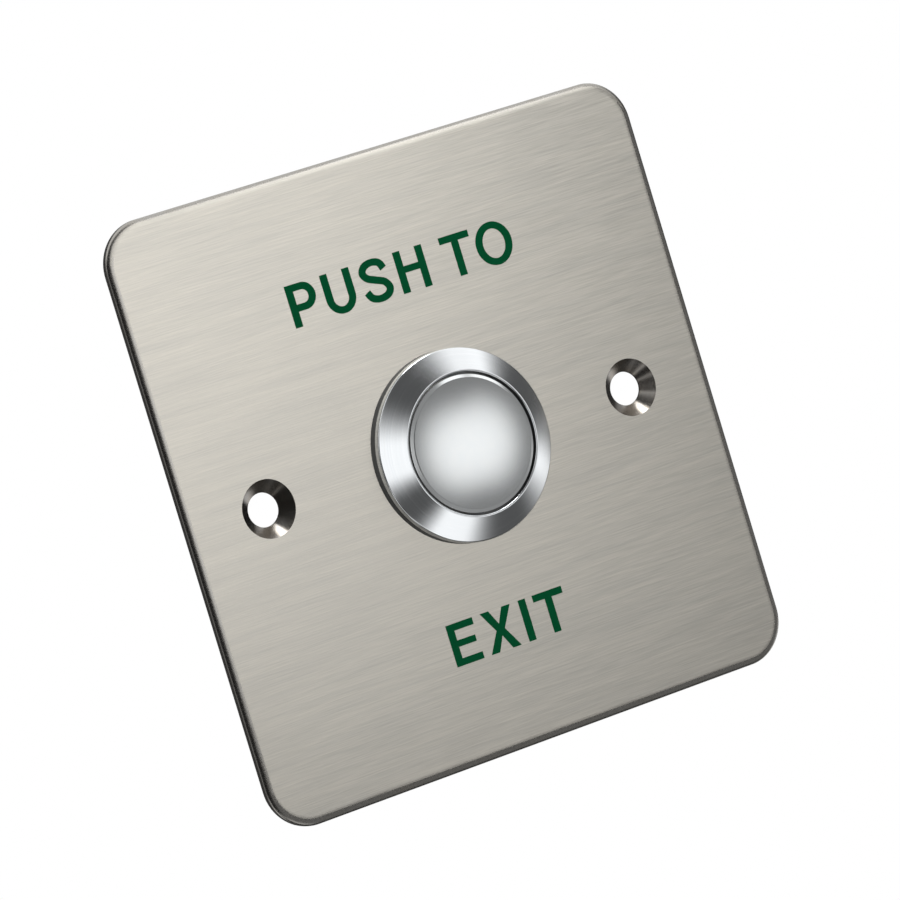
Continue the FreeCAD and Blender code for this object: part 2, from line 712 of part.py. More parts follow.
def check_document():
    """Stop on an object that failed, or on a cut that took nothing away."""
    for item in doc.Objects:
        if "Invalid" in item.State or "Error" in item.State:
            raise RuntimeError(f"{item.Name} failed: {item.State}")
        if item.TypeId in CUTTING and item.Shape.Volume >= item.BaseFeature.Shape.Volume - 1e-6:
            raise RuntimeError(f"{item.Name} cuts nothing")


def export(labels):
    """Write each sub-part to its own STEP file, once all of them are known to be sound."""
    shapes = {label: doc.getObjectsByLabel(label)[0].Shape for label in labels}
    for label, shape in shapes.items():
        if shape.isNull() or not shape.isValid() or not shape.Solids:
            raise RuntimeError(f"{label} has no sound solid")
    os.makedirs("parts", exist_ok=True)
    for label, shape in shapes.items():
        shape.exportStep(f"parts/{label}.step")
        print(f"{label}: {len(shape.Solids)} solid, {shape.Volume:.2f} cubic millimetres")


doc = FreeCAD.newDocument("door_exit_button")
size = SizeSheet(SIZES)
TURNED_TO_Y = FreeCAD.Rotation(FreeCAD.Vector(1, 0, 0), -90)

# Radii from the middle outward, all set by the bore that guides the cap's hub.
HUB_BORE = size.hub_bore_width / 2
CAP_BORE = HUB_BORE + size.cap_step
FLANGE = CAP_BORE + size.lip_width + size.cone_width
BASE_BORE = HUB_BORE + size.base_step
BARREL = BASE_BORE + size.barrel_wall
HUB = HUB_BORE - size.hub_clearance
HOLLOW = HUB - size.hub_wall
SEAL = HUB_BORE - size.seal_gap - size.seal_section / 2
RETURN_SPRING = HOLLOW - size.return_spring_gap - size.return_wire / 2
RING_OUTER = BASE_BORE + size.ring_groove_depth - size.guide_clearance
RING_INNER = RING_OUTER - size.ring_radial_width
NECK = RING_INNER - size.neck_gap

# Radii on the plunger.
ROD = size.plunger_width / 2
COLLAR = ROD + size.collar_step
TAIL = ROD - size.tail_step
CLIP = TAIL + size.clip_step
CONTACT_SPRING = TAIL + size.contact_spring_gap + size.contact_wire / 2

# Places of the two terminals and their contacts, from the middle to either side.
STRIP_REACH = NECK - size.strip_setback
LEG_INNER = STRIP_REACH - size.strip_thickness
TERMINAL_PLACE = STRIP_REACH - size.terminal_setback
CONTACT_PLACE = (CLIP + LEG_INNER) / 2

# Depths along Y, from the front to the back.
PLATE_FRONT = -size.plate_thickness
FLANGE_BACK = PLATE_FRONT - size.gasket_thickness
FLANGE_FRONT = FLANGE_BACK - size.flange_side
LIP = FLANGE_FRONT - size.bezel_rise
CAP_RIM = LIP + size.cap_sink
CAP_SHOULDER = CAP_RIM + size.cap_rim_thickness + size.travel + size.shoulder_gap
CROWN_BACK = CAP_RIM + size.crown_thickness
BOSS_END = CROWN_BACK + size.boss_length
SOCKET_END = BOSS_END - size.socket_depth
NUT_BACK = size.washer_thickness + size.nut_thickness
HUB_END = CAP_RIM + size.cap_rim_thickness + size.hub_length
SEAL_MIDDLE = HUB_END - size.seal_groove_setback - (size.seal_section + size.seal_play) / 2
BASE_SHOULDER = HUB_END + size.travel + size.stop_gap
GUIDE_BACK = BASE_SHOULDER + size.guide_thickness
COLLAR_BACK = GUIDE_BACK + size.collar_thickness
BRIDGE_FRONT = COLLAR_BACK + size.contact_spring_length
BRIDGE_BACK = BRIDGE_FRONT + size.bridge_thickness
FOOT_FRONT = BRIDGE_BACK + size.contact_height * 2 + size.contact_way + size.contact_gap
FLOOR = FOOT_FRONT + size.strip_thickness
BASE_BACK = FLOOR + size.base_floor
GROOVE_FRONT = BASE_BACK - size.base_neck_length
GROOVE_BACK = GROOVE_FRONT + size.ring_thickness + size.ring_play
BARREL_END = GROOVE_BACK + size.ring_groove_setback
PAD_BACK = BASE_BACK + size.strip_thickness
CLAMP_BACK = PAD_BACK + size.clamp_thickness
SCREW_END = CLAMP_BACK - size.terminal_screw_length
HEAD_BACK = CLAMP_BACK + size.screw_head_height

make_face_plate()
make_bezel_housing()
make_panel_gasket()
make_lock_washer()
make_mounting_nut()
make_button_cap()
make_cap_seal()
make_plunger()
make_plunger_guide()
make_spring("return_spring", CROWN_BACK, BASE_SHOULDER,
            RETURN_SPRING, size.return_wire, size.return_coils)
make_spring("contact_spring", COLLAR_BACK, BRIDGE_FRONT,
            CONTACT_SPRING, size.contact_wire, size.contact_coils)
make_bridge_clip()
make_base_retaining_ring()
make_contact_bridge()
make_contacts()
make_terminal_base()
make_terminal("terminal_no", -1)
make_terminal("terminal_com", 1)
for name, side in SIDES:
    make_clamp_washer(f"clamp_washer_{name}", side)
    make_terminal_screw(f"terminal_screw_{name}", side)

doc.recompute()
check_document()
export((
    "face_plate",
    "bezel_housing",
    "panel_gasket",
    "lock_washer",
    "mounting_nut",
    "button_cap",
    "cap_seal",
    "return_spring",
    "plunger",
    "plunger_guide",
    "bridge_clip",
    "contact_bridge",
    "moving_contact_left",
    "moving_contact_right",
    "contact_spring",
    "terminal_base",
    "base_retaining_ring",
    "terminal_no",
    "terminal_com",
    "fixed_contact_left",
    "fixed_contact_right",
    "clamp_washer_left",
    "clamp_washer_right",
    "terminal_screw_left",
    "terminal_screw_right",
))
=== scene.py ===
import logging
import math
from contextlib import contextmanager
from dataclasses import dataclass, field
from enum import Enum
from functools import cache
from typing import Callable, ClassVar, Iterator, Sequence

import bmesh
import bpy
from mathutils import Matrix, Vector


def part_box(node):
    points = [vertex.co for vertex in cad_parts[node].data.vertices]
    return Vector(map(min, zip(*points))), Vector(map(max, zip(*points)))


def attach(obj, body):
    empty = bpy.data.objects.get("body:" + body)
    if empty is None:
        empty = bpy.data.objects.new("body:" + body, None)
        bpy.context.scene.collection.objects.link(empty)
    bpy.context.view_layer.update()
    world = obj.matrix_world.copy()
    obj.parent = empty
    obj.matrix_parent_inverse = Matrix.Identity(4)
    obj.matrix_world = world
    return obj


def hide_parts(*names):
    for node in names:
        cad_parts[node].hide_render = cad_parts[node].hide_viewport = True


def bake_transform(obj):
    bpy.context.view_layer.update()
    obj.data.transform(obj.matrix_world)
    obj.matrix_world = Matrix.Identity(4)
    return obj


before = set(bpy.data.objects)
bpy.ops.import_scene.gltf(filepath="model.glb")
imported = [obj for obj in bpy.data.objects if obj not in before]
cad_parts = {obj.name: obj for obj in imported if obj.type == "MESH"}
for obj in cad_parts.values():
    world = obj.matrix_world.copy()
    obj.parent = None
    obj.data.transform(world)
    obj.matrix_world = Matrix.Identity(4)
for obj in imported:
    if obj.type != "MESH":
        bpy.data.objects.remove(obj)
log = logging.getLogger("door_exit_button")

MM = 0.001
TURN_STEPS = 160
FINE_TURN_STEPS = 192
COARSE_TURN_STEPS = 120
SMALL_TURN_STEPS = 96
ARC_STEPS = 5
CURVE_STEPS = 40
EASE_STEPS = 6
RING_STEPS = 20
CAP_ARC_STEPS = 8
HOLD = 0.04 * MM
MERGE_DISTANCE = 0.002 * MM
SHARP_ANGLE = math.radians(32)
BEVEL_ANGLE = math.radians(30)
ROUND_ANGLE = math.radians(25)
THREAD_ANGLE = math.radians(20)
FLAT_ANGLE = math.radians(1.5)
WHITE = (1, 1, 1, 1)
LIT_PIECES = ("brushed_face_plate", "push_words", "exit_word")

Piece = bpy.types.Object
Socket = bpy.types.NodeSocket
Tree = bpy.types.NodeTree
Point = tuple[float, float]
Span = tuple[float, float]
Triple = tuple[float, float, float]
Box = tuple[Vector, Vector]
Shape = list[list[Point]]


class Body(Enum):
    """The moving bodies that a piece can ride on."""

    HOUSING = "housing"
    BUTTON = "button"
    BRIDGE = "bridge"


class Lay(Enum):
    """Which way the marks of a metal's last working run."""

    STRAIGHT = "straight grain, left to right"
    TURNED = "rings about the button's axis"
    NONE = "no direction"


@dataclass(frozen=True)
class Corner:
    """One corner of a turned outline.

    Attributes:
        radius: Distance from the Y axis, in metres.
        depth: Place along Y, in metres.
        rounding: Radius of the arc that replaces the corner, or 0 for a sharp one.
    """

    radius: float
    depth: float
    rounding: float = 0.0


def box_of(node: str) -> Box:
    """Find where a node of the frame lies.

    Args:
        node: The node's name.

    Returns:
        Its lowest and highest corners at rest, in metres.
    """
    low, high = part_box(node)
    return Vector(low), Vector(high)


def rounded(corners: Sequence[Corner], closed: bool = True,
            arc_steps: int = ARC_STEPS) -> list[Point]:
    """Turn corners into outline points, each rounded corner an arc.

    A point a little way along each straight run keeps the shading of a flat face even.

    Args:
        corners: The outline's corners in order.
        closed: Whether the last corner joins the first.
        arc_steps: Segments in each arc.

    Returns:
        The (radius, depth) points in order.
    """
    points: list[Point] = []
    count = len(corners)
    for i, corner in enumerate(corners):
        here = Vector((corner.radius, corner.depth))
        at_end = not closed and i in (0, count - 1)
        if corner.rounding <= 0 or at_end:
            points.append((here.x, here.y))
            continue
        before = Vector((corners[i - 1].radius, corners[i - 1].depth)) - here
        after = Vector((corners[(i + 1) % count].radius, corners[(i + 1) % count].depth)) - here
        half = before.angle(after) / 2
        setback = corner.rounding / math.tan(half)
        before.normalize()
        after.normalize()
        centre = here + (before + after).normalized() * (corner.rounding / math.sin(half))
        start = here + before * setback - centre
        swing = math.pi - 2 * half
        side = 1 if before.x * after.y - before.y * after.x < 0 else -1
        hold_in = here + before * (setback + HOLD)
        points.append((hold_in.x, hold_in.y))
        for k in range(arc_steps + 1):
            angle = swing * k / arc_steps * side
            spoke = Matrix.Rotation(angle, 2) @ start
            points.append((centre.x + spoke.x, centre.y + spoke.y))
        hold_out = here + after * (setback + HOLD)
        points.append((hold_out.x, hold_out.y))
    return points


class Workbench:
    """The modelling operations that the pieces share."""

    @staticmethod
    def clear_selection() -> None:
        """Leave edit mode and deselect everything."""
        if bpy.context.object and bpy.context.object.mode != "OBJECT":
            bpy.ops.object.mode_set(mode="OBJECT")
        bpy.ops.object.select_all(action="DESELECT")

    @staticmethod
    def pick(piece: Piece) -> None:
        """Select one object and make it active."""
        Workbench.clear_selection()
        piece.select_set(True)
        bpy.context.view_layer.objects.active = piece

    @staticmethod
    def settle(piece: Piece) -> None:
        """Put an object's place, turn and scale into its mesh."""
        Workbench.pick(piece)
        bpy.ops.object.transform_apply(location=True, rotation=True, scale=True)

    @staticmethod
    def named(name: str) -> Piece:
        """Give the active object and its data a name and return it."""
        piece = bpy.context.object
        piece.name = name
        piece.data.name = name
        return piece

    @staticmethod
    def smooth(piece: Piece, angle: float = SHARP_ANGLE) -> None:
        """Shade smooth, with edges sharper than the angle kept crisp."""
        Workbench.pick(piece)
        bpy.ops.object.shade_smooth_by_angle(angle=angle)

    @staticmethod
    @contextmanager
    def editing(piece: Piece, selection: str = "SELECT", mode: str = "VERT") -> Iterator[None]:
        """Keep a piece in edit mode for a few operations.

        Args:
            piece: The mesh to edit.
            selection: SELECT to start with everything selected, DESELECT with nothing.
            mode: VERT, EDGE or FACE, for what is selected.
        """
        Workbench.pick(piece)
        bpy.ops.object.mode_set(mode="EDIT")
        bpy.ops.mesh.select_mode(type=mode)
        bpy.ops.mesh.select_all(action=selection)
        yield
        bpy.ops.object.mode_set(mode="OBJECT")

    @staticmethod
    def weld() -> None:
        """Merge the doubled vertices of the mesh in edit mode."""
        bpy.ops.mesh.select_all(action="SELECT")
        bpy.ops.mesh.remove_doubles(threshold=MERGE_DISTANCE)

    @staticmethod
    def face_outwards() -> None:
        """Turn every face of the mesh in edit mode outwards."""
        bpy.ops.mesh.select_all(action="SELECT")
        bpy.ops.mesh.normals_make_consistent(inside=False)

    @staticmethod
    def modify(piece: Piece, kind: str, **values: object) -> None:
        """Change a piece with a modifier, applied at once.

        Args:
            piece: The mesh to change.
            kind: The modifier's type.
            **values: Its settings.
        """
        Workbench.pick(piece)
        modifier = piece.modifiers.new(kind.lower(), kind)
        for key, value in values.items():
            setattr(modifier, key, value)
        bpy.ops.object.modifier_apply(modifier=modifier.name)

    @staticmethod
    def outline(name: str, points: Sequence[Point], closed: bool) -> Piece:
        """Draw an outline in the XY plane by extruding one vertex from point to point.

        Args:
            name: The new object's name.
            points: (radius, depth) points, taken as x and y.
            closed: Whether to return to the first point.

        Returns:
            The outline's object.
        """
        Workbench.clear_selection()
        bpy.ops.mesh.primitive_plane_add(size=MM, location=(*points[0], 0))
        piece = Workbench.named(name)
        Workbench.settle(piece)
        with Workbench.editing(piece):
            bpy.ops.mesh.merge(type="CENTER")
            last = points[0]
            for stop in (*points[1:], *(points[:1] if closed else ())):
                step = (stop[0] - last[0], stop[1] - last[1], 0)
                bpy.ops.mesh.extrude_region_move(TRANSFORM_OT_translate={"value": step})
                last = stop
            Workbench.weld()
        return piece

    @staticmethod
    def turned(name: str, corners: Sequence[Corner], closed: bool = True,
               steps: int = TURN_STEPS, arc_steps: int = ARC_STEPS) -> Piece:
        """Spin an outline once round the Y axis.

        Args:
            name: The new object's name.
            corners: The outline's corners.
            closed: False for an outline whose two ends lie on the axis.
            steps: Segments round the axis.
            arc_steps: Segments in each rounded corner.

        Returns:
            The turned object.
        """
        piece = Workbench.outline(name, rounded(corners, closed, arc_steps), closed)
        with Workbench.editing(piece):
            bpy.ops.mesh.spin(steps=steps, angle=math.tau, center=(0, 0, 0), axis=(0, 1, 0))
            Workbench.weld()
            Workbench.face_outwards()
        Workbench.smooth(piece)
        return piece

    @staticmethod
    def block(name: str, low: Sequence[float], high: Sequence[float]) -> Piece:
        """Add a box between two corners, to be shaped further."""
        Workbench.clear_selection()
        middle = [(a + b) / 2 for a, b in zip(low, high)]
        extent = [b - a for a, b in zip(low, high)]
        bpy.ops.mesh.primitive_cube_add(size=1, location=middle, scale=extent)
        piece = Workbench.named(name)
        Workbench.settle(piece)
        return piece

    @staticmethod
    def bevel_edges(piece: Piece, width: float, segments: int,
                    wanted: Callable[[Vector, Vector], bool]) -> None:
        """Round the edges that a test picks.

        Args:
            piece: The mesh to shape.
            width: The rounding's radius.
            segments: Faces across the rounding.
            wanted: Whether to round the edge between two points.
        """
        with Workbench.editing(piece, "DESELECT", "EDGE"):
            mesh = bmesh.from_edit_mesh(piece.data)
            for edge in mesh.edges:
                edge.select = wanted(edge.verts[0].co, edge.verts[1].co)
            mesh.select_flush_mode()
            bmesh.update_edit_mesh(piece.data)
            bpy.ops.mesh.bevel(offset=width, offset_type="OFFSET", segments=segments, profile=0.5)

    @staticmethod
    def combine(piece: Piece, tool: Piece, operation: str) -> None:
        """Cut, join or intersect a piece with a tool, which is used up.

        Args:
            piece: The mesh that stays.
            tool: The mesh that shapes it.
            operation: DIFFERENCE, UNION or INTERSECT.
        """
        Workbench.modify(piece, "BOOLEAN", operation=operation, solver="EXACT", object=tool)
        bpy.data.objects.remove(tool, do_unlink=True)

    @staticmethod
    def join(name: str, pieces: Sequence[Piece]) -> Piece:
        """Make several meshes one object."""
        Workbench.clear_selection()
        for piece in pieces:
            piece.select_set(True)
        bpy.context.view_layer.objects.active = pieces[0]
        bpy.ops.object.join()
        return Workbench.named(name)

    @staticmethod
    def soften(piece: Piece, width: float) -> None:
        """Break every sharp edge of a piece."""
        Workbench.modify(piece, "BEVEL", width=width, segments=2, limit_method="ANGLE",
                         angle_limit=BEVEL_ANGLE, harden_normals=False)
        Workbench.smooth(piece)

    @staticmethod
    def softened_copy(node: str, name: str, width: float) -> Piece:
        """Copy a node's solid, clean its faces and break its edges.

        Args:
            node: The frame's node.
            name: The new piece's name.
            width: How far the edges are broken.

        Returns:
            The new piece.
        """
        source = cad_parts[node]
        piece = bpy.data.objects.new(name, source.data.copy())
        bpy.context.scene.collection.objects.link(piece)
        piece.data.materials.clear()
        with Workbench.editing(piece):
            bpy.ops.mesh.customdata_custom_splitnormals_clear()
            bpy.ops.mesh.remove_doubles(threshold=MERGE_DISTANCE)
            bpy.ops.mesh.dissolve_limited(angle_limit=FLAT_ANGLE)
        Workbench.soften(piece, width)
        return Workbench.named(name)


class NodeSheet:
    """A shader tree being laid out."""

    def __init__(self, tree: Tree) -> None:
        """Start on an emptied tree."""
        self.tree = tree
        tree.nodes.clear()

    def add(self, kind: str, **values: object) -> bpy.types.Node:
        """Add a node.

        Args:
            kind: The node's type.
            **values: Its properties, then what feeds its inputs, with spaces as underscores.

        Returns:
            The node.
        """
        node = self.tree.nodes.new(kind)
        for key, value in values.items():
            if key in node.bl_rna.properties:
                setattr(node, key, value)
            else:
                self.feed(node.inputs[key.replace("_", " ")], value)
        return node

    def feed(self, socket: Socket, item: object) -> None:
        """Link a socket to another, or give it a plain value."""
        if isinstance(item, Socket):
            self.tree.links.new(item, socket)
        else:
            socket.default_value = item

    def combined(self, kind: str, items: Sequence[object], **values: object) -> Socket:
        """Add a node whose inputs are fed in order.

        Args:
            kind: The node's type.
            items: What feeds its inputs: sockets or plain values.
            **values: Its properties.

        Returns:
            Its first output.
        """
        node = self.add(kind, **values)
        for socket, item in zip(node.inputs, items):
            self.feed(socket, item)
        return node.outputs[0]

    def math(self, operation: str, *items: object) -> Socket:
        """Work out one value from sockets or numbers."""
        return self.combined("ShaderNodeMath", items, operation=operation)

    def span(self, value: Socket, low: float, high: float, source: Span) -> Socket:
        """Move a value from one range to another.

        Args:
            value: The socket to read.
            low: The result at the start of the source range.
            high: The result at its end.
            source: The source range.

        Returns:
            The result's socket.
        """
        node = self.add("ShaderNodeMapRange", clamp=True, Value=value, From_Min=source[0],
                        From_Max=source[1], To_Min=low, To_Max=high)
        return node.outputs["Result"]

    def noise(self, place: Socket, detail: float, roughness: float, scale: object = 1.0) -> Socket:
        """Add an even noise.

        Args:
            place: Where it is read.
            detail: How many finer layers it has.
            roughness: How strong they are.
            scale: Its fineness.

        Returns:
            Its value, about 0.5 on average.
        """
        node = self.add("ShaderNodeTexNoise", noise_dimensions="3D", Vector=place, Scale=scale,
                        Detail=detail, Roughness=roughness)
        return node.outputs["Fac"]


class Effects:
    """Shader effects that several finishes share, each built once."""

    ORIGIN: Triple = (0.0, 0.0, 0.0)
    MARKS: tuple[str, str] = ("Fine", "Broad")

    @staticmethod
    def _start(name: str, outputs: Sequence[str], **inputs: object
               ) -> tuple[NodeSheet, bpy.types.NodeOutputs, bpy.types.NodeInputs]:
        """Start an effect's tree with its sockets.

        Args:
            name: The effect's name.
            outputs: The names of its value outputs.
            **inputs: Each input's default, a number or a vector.

        Returns:
            The sheet to lay the effect out on, what it is given and what it has to feed.
        """
        tree = bpy.data.node_groups.new(name, "ShaderNodeTree")
        for key, value in inputs.items():
            kind = "NodeSocketVector" if isinstance(value, tuple) else "NodeSocketFloat"
            socket = tree.interface.new_socket(key, in_out="INPUT", socket_type=kind)
            socket.default_value = value
        for key in outputs:
            tree.interface.new_socket(key, in_out="OUTPUT", socket_type="NodeSocketFloat")
        sheet = NodeSheet(tree)
        return sheet, sheet.add("NodeGroupInput").outputs, sheet.add("NodeGroupOutput").inputs

    @staticmethod
    @cache
    def grain() -> Tree:
        """Streaks along X. Outputs a fine value and a broad one, each about 0.5 on average."""
        sheet, given, made = Effects._start("grain", Effects.MARKS, Vector=Effects.ORIGIN,
                                            Length=0.02, Width=0.0002)
        parts = sheet.add("ShaderNodeSeparateXYZ", Vector=given["Vector"]).outputs
        for name, factor, detail in (("Fine", 1.0, 3.0), ("Broad", 9.0, 2.0)):
            width = sheet.math("MULTIPLY", given["Width"], factor)
            length = sheet.math("MULTIPLY", given["Length"], math.sqrt(factor))
            sizes = {"X": length, "Y": width, "Z": width}
            place = sheet.combined("ShaderNodeCombineXYZ", [
                sheet.math("DIVIDE", parts[axis], size) for axis, size in sizes.items()])
            sheet.feed(made[name], sheet.noise(place, detail, 0.65))
        return sheet.tree

    @staticmethod
    @cache
    def rings() -> Tree:
        """Turning marks round the Y axis. Outputs a fine value and a broad one, by the radius."""
        sheet, given, made = Effects._start("rings", Effects.MARKS, Vector=Effects.ORIGIN, Spacing=0.0001)
        parts = sheet.add("ShaderNodeSeparateXYZ", Vector=given["Vector"]).outputs
        squares = [sheet.math("MULTIPLY", parts[axis], parts[axis]) for axis in "XZ"]
        radius = sheet.math("SQRT", sheet.math("ADD", *squares))
        angle = sheet.math("ARCTAN2", parts["Z"], parts["X"])
        for name, factor in (("Fine", 1.0), ("Broad", 8.0)):
            spacing = sheet.math("MULTIPLY", given["Spacing"], factor)
            place = sheet.combined("ShaderNodeCombineXYZ", (
                sheet.math("DIVIDE", radius, spacing), sheet.math("DIVIDE", parts["Y"], spacing),
                sheet.math("MULTIPLY", sheet.math("COSINE", angle), 0.6)))
            sheet.feed(made[name], sheet.noise(place, 2.0, 0.6))
        return sheet.tree

    @staticmethod
    @cache
    def speckle() -> Tree:
        """Small even variation without direction. Outputs a fine value and a broad one."""
        sheet, given, made = Effects._start("speckle", Effects.MARKS, Vector=Effects.ORIGIN, Size=0.0004)
        for name, factor in (("Fine", 1.0), ("Broad", 12.0)):
            scale = sheet.math("DIVIDE", 1.0 / factor, given["Size"])
            sheet.feed(made[name], sheet.noise(given["Vector"], 3.0, 0.55, scale))
        return sheet.tree

    @staticmethod
    @cache
    def panel() -> Tree:
        """A soft round patch in a direction. Outputs the level so far, changed inside the patch."""
        sheet, given, made = Effects._start("panel", ("Level",), Direction=Effects.ORIGIN,
                                            Towards=(0.0, 0.0, 1.0), Inner=0.9, Outer=0.8, Level=1.0,
                                            Before=1.0)
        facing = sheet.add("ShaderNodeVectorMath", operation="DOT_PRODUCT")
        sheet.feed(facing.inputs[0], given["Direction"])
        sheet.feed(facing.inputs[1], given["Towards"])
        mask = sheet.add("ShaderNodeMapRange", interpolation_type="SMOOTHSTEP",
                         Value=facing.outputs["Value"], From_Min=given["Outer"], From_Max=given["Inner"])
        blend = sheet.add("ShaderNodeMix", data_type="FLOAT", Factor=mask.outputs["Result"],
                          A=given["Before"], B=given["Level"])
        sheet.feed(made["Level"], blend.outputs["Result"])
        return sheet.tree


@dataclass(frozen=True)
class Finish:
    """A surface with a colour, a gloss and the marks of how it was made.

    Attributes:
        name: The material's name.
        colour: Base colour, linear.
        metallic: 1 for bare metal, 0 for the rest.
        roughness: Lowest and highest roughness over the surface.
        lay: Which way the marks run.
        mark: Size of the marks across their run, in metres.
        mark_length: Length of straight marks, in metres.
        shade: How far the marks darken and lighten the colour.
        tint: Colour of the broad, faint discolouration.
        relief: Height of the marks, in metres.
        specular: Specular level of what isn't metal.
        fine_range: The fine marks' usual lowest and highest value.
        broad_range: The broad marks' usual lowest and highest value.
        tint_share: Share of the tint where the broad marks are strongest.
    """

    name: str
    colour: Triple
    metallic: float = 1.0
    roughness: Point = (0.25, 0.35)
    lay: Lay = Lay.NONE
    mark: float = 0.3 * MM
    mark_length: float = 12 * MM
    shade: float = 0.05
    tint: Triple = (0.9, 0.9, 0.9)
    relief: float = 0.001 * MM
    specular: float = 0.5
    fine_range: Span = (0.3, 0.7)
    broad_range: Span = (0.35, 0.7)
    tint_share: float = 0.6

    def material(self) -> bpy.types.Material:
        """Build this finish's material, or find it if it is there already.

        Returns:
            The material.
        """
        known = bpy.data.materials.get(self.name)
        if known:
            return known
        material = bpy.data.materials.new(self.name)
        material.use_nodes = True
        sheet = NodeSheet(material.node_tree)
        marks = self._marks(sheet, sheet.add("ShaderNodeTexCoord").outputs["Object"])
        fine = marks["Fine"]
        tinted = [a * b for a, b in zip(self.colour, self.tint)]
        blend = sheet.add("ShaderNodeMix", data_type="RGBA", A=(*self.colour, 1), B=(*tinted, 1),
                          Factor=sheet.span(marks["Broad"], 0.0, self.tint_share, self.broad_range))
        shaded = sheet.add("ShaderNodeMix", data_type="RGBA", blend_type="MULTIPLY", Factor=1.0,
                           A=blend.outputs["Result"],
                           B=sheet.span(fine, 1 - self.shade, 1 + self.shade, self.fine_range))
        bump = sheet.add("ShaderNodeBump", Strength=1.0, Distance=self.relief, Height=fine)
        surface = sheet.add("ShaderNodeBsdfPrincipled", Metallic=self.metallic,
                            Specular_IOR_Level=self.specular, Base_Color=shaded.outputs["Result"],
                            Roughness=sheet.span(fine, *self.roughness, self.fine_range),
                            Normal=bump.outputs["Normal"])
        sheet.add("ShaderNodeOutputMaterial", Surface=surface.outputs["BSDF"])
        return material

    def _marks(self, sheet: NodeSheet, place: Socket) -> bpy.types.NodeOutputs:
        """Place the effect that draws this finish's marks and return its outputs."""
        if self.lay is Lay.STRAIGHT:
            effect, sizes = Effects.grain(), {"Length": self.mark_length, "Width": self.mark}
        elif self.lay is Lay.TURNED:
            effect, sizes = Effects.rings(), {"Spacing": self.mark}
        else:
            effect, sizes = Effects.speckle(), {"Size": self.mark}
        return sheet.add("ShaderNodeGroup", node_tree=effect, Vector=place, **sizes).outputs


class Finishes:
    """The finishes of this button's pieces."""

    PLATE = Finish("brushed_plate", (0.465, 0.445, 0.4), roughness=(0.35, 0.47), lay=Lay.STRAIGHT,
                   mark=0.13 * MM, mark_length=6 * MM, shade=0.16, tint=(0.86, 0.87, 0.89),
                   relief=0.0009 * MM)
    # The edge's colour is painted shade: darker than the plate's own steel so that the rounded edges and
    # hole walls look shaded; its lower roughness is the real smoother edge.
    PLATE_EDGE = Finish("smoothed_plate_edge_painted_shade", (0.34, 0.33, 0.31), roughness=(0.22, 0.32),
                        mark=0.25 * MM, shade=0.08, tint=(0.95, 0.92, 0.88),
                        relief=0.0005 * MM)
    # The countersinks' colour is painted shade: darker than the plate's own steel so that the screw holes
    # look shaded inside; their lower roughness is the real smoother surface.
    COUNTERSINK = Finish("burnished_countersink_painted_shade", (0.29, 0.277, 0.26), roughness=(0.16, 0.24),
                         mark=0.2 * MM, shade=0.08, tint=(0.95, 0.85, 0.72),
                         relief=0.001 * MM)
    BEZEL = Finish("turned_bezel", (0.85, 0.872, 0.888), roughness=(0.1, 0.15), lay=Lay.TURNED,
                   mark=0.09 * MM, shade=0.03, tint=(0.96, 0.97, 0.98), relief=0.0006 * MM)
    # Painted shade: a near-black metal laid on the flange's rear side, the wall round the cap and the
    # cap's side, where shade falls between the parts.
    PAINTED_SHADE_RIM = Finish("painted_shade_rim", (0.13, 0.135, 0.142), roughness=(0.35, 0.5), lay=Lay.TURNED,
                      mark=0.15 * MM, shade=0.15, tint=(0.9, 0.95, 1.0), relief=0.001 * MM)
    CAP = Finish("satin_cap", (0.86, 0.882, 0.886), roughness=(0.14, 0.19),
                 mark=0.12 * MM, shade=0.02, tint=(0.97, 0.98, 0.99), relief=0.0004 * MM)
    RUBBER = Finish("black_seal_rubber", (0.018, 0.018, 0.02), metallic=0.0, roughness=(0.5, 0.7),
                    mark=0.2 * MM, shade=0.2, relief=0.006 * MM)
    ZINC = Finish("zinc_plating", (0.66, 0.68, 0.71), roughness=(0.22, 0.4), mark=0.5 * MM, shade=0.06,
                  tint=(0.93, 0.97, 1.02), relief=0.002 * MM)
    NICKEL = Finish("nickel_plated_nut", (0.68, 0.66, 0.62), roughness=(0.18, 0.32), lay=Lay.TURNED,
                    mark=0.15 * MM, shade=0.05, tint=(0.98, 0.95, 0.9), relief=0.002 * MM)
    SPRING = Finish("drawn_spring_wire", (0.5, 0.51, 0.53), roughness=(0.2, 0.35), mark=0.25 * MM,
                    shade=0.08, relief=0.001 * MM)
    WHITE_PLASTIC = Finish("natural_plastic", (0.78, 0.77, 0.72), metallic=0.0, roughness=(0.38, 0.5),
                           mark=0.3 * MM, shade=0.03, relief=0.002 * MM)
    BLACK_PLASTIC = Finish("black_moulding", (0.022, 0.022, 0.025), metallic=0.0,
                           roughness=(0.42, 0.58), mark=0.22 * MM, shade=0.15, relief=0.004 * MM)
    COPPER = Finish("rolled_copper", (0.75, 0.4, 0.26), roughness=(0.22, 0.36), lay=Lay.STRAIGHT,
                    mark=0.1 * MM, mark_length=3 * MM, shade=0.06, relief=0.001 * MM)
    SILVER = Finish("contact_silver", (0.86, 0.85, 0.82), roughness=(0.2, 0.34), mark=0.2 * MM,
                    shade=0.04, relief=0.001 * MM)
    BRASS = Finish("stamped_brass", (0.72, 0.53, 0.24), roughness=(0.2, 0.36), lay=Lay.STRAIGHT,
                   mark=0.12 * MM, mark_length=4 * MM, shade=0.07, tint=(0.97, 0.9, 0.8),
                   relief=0.0015 * MM)
    PRINT = Finish("green_print", (0.0004, 0.048, 0.017), metallic=0.0, roughness=(0.6, 0.72),
                   mark=0.15 * MM, shade=0.12, tint=(0.8, 0.9, 0.8), relief=0.001 * MM, specular=0.02)


def dress(piece: Piece, finish: Finish) -> None:
    """Give a new piece its finish and log it.

    Args:
        piece: The finished mesh.
        finish: Its surface.
    """
    piece.data.materials.clear()
    piece.data.materials.append(finish.material())
    log.info("%s: %d faces, %s", piece.name, len(piece.data.polygons), finish.name)


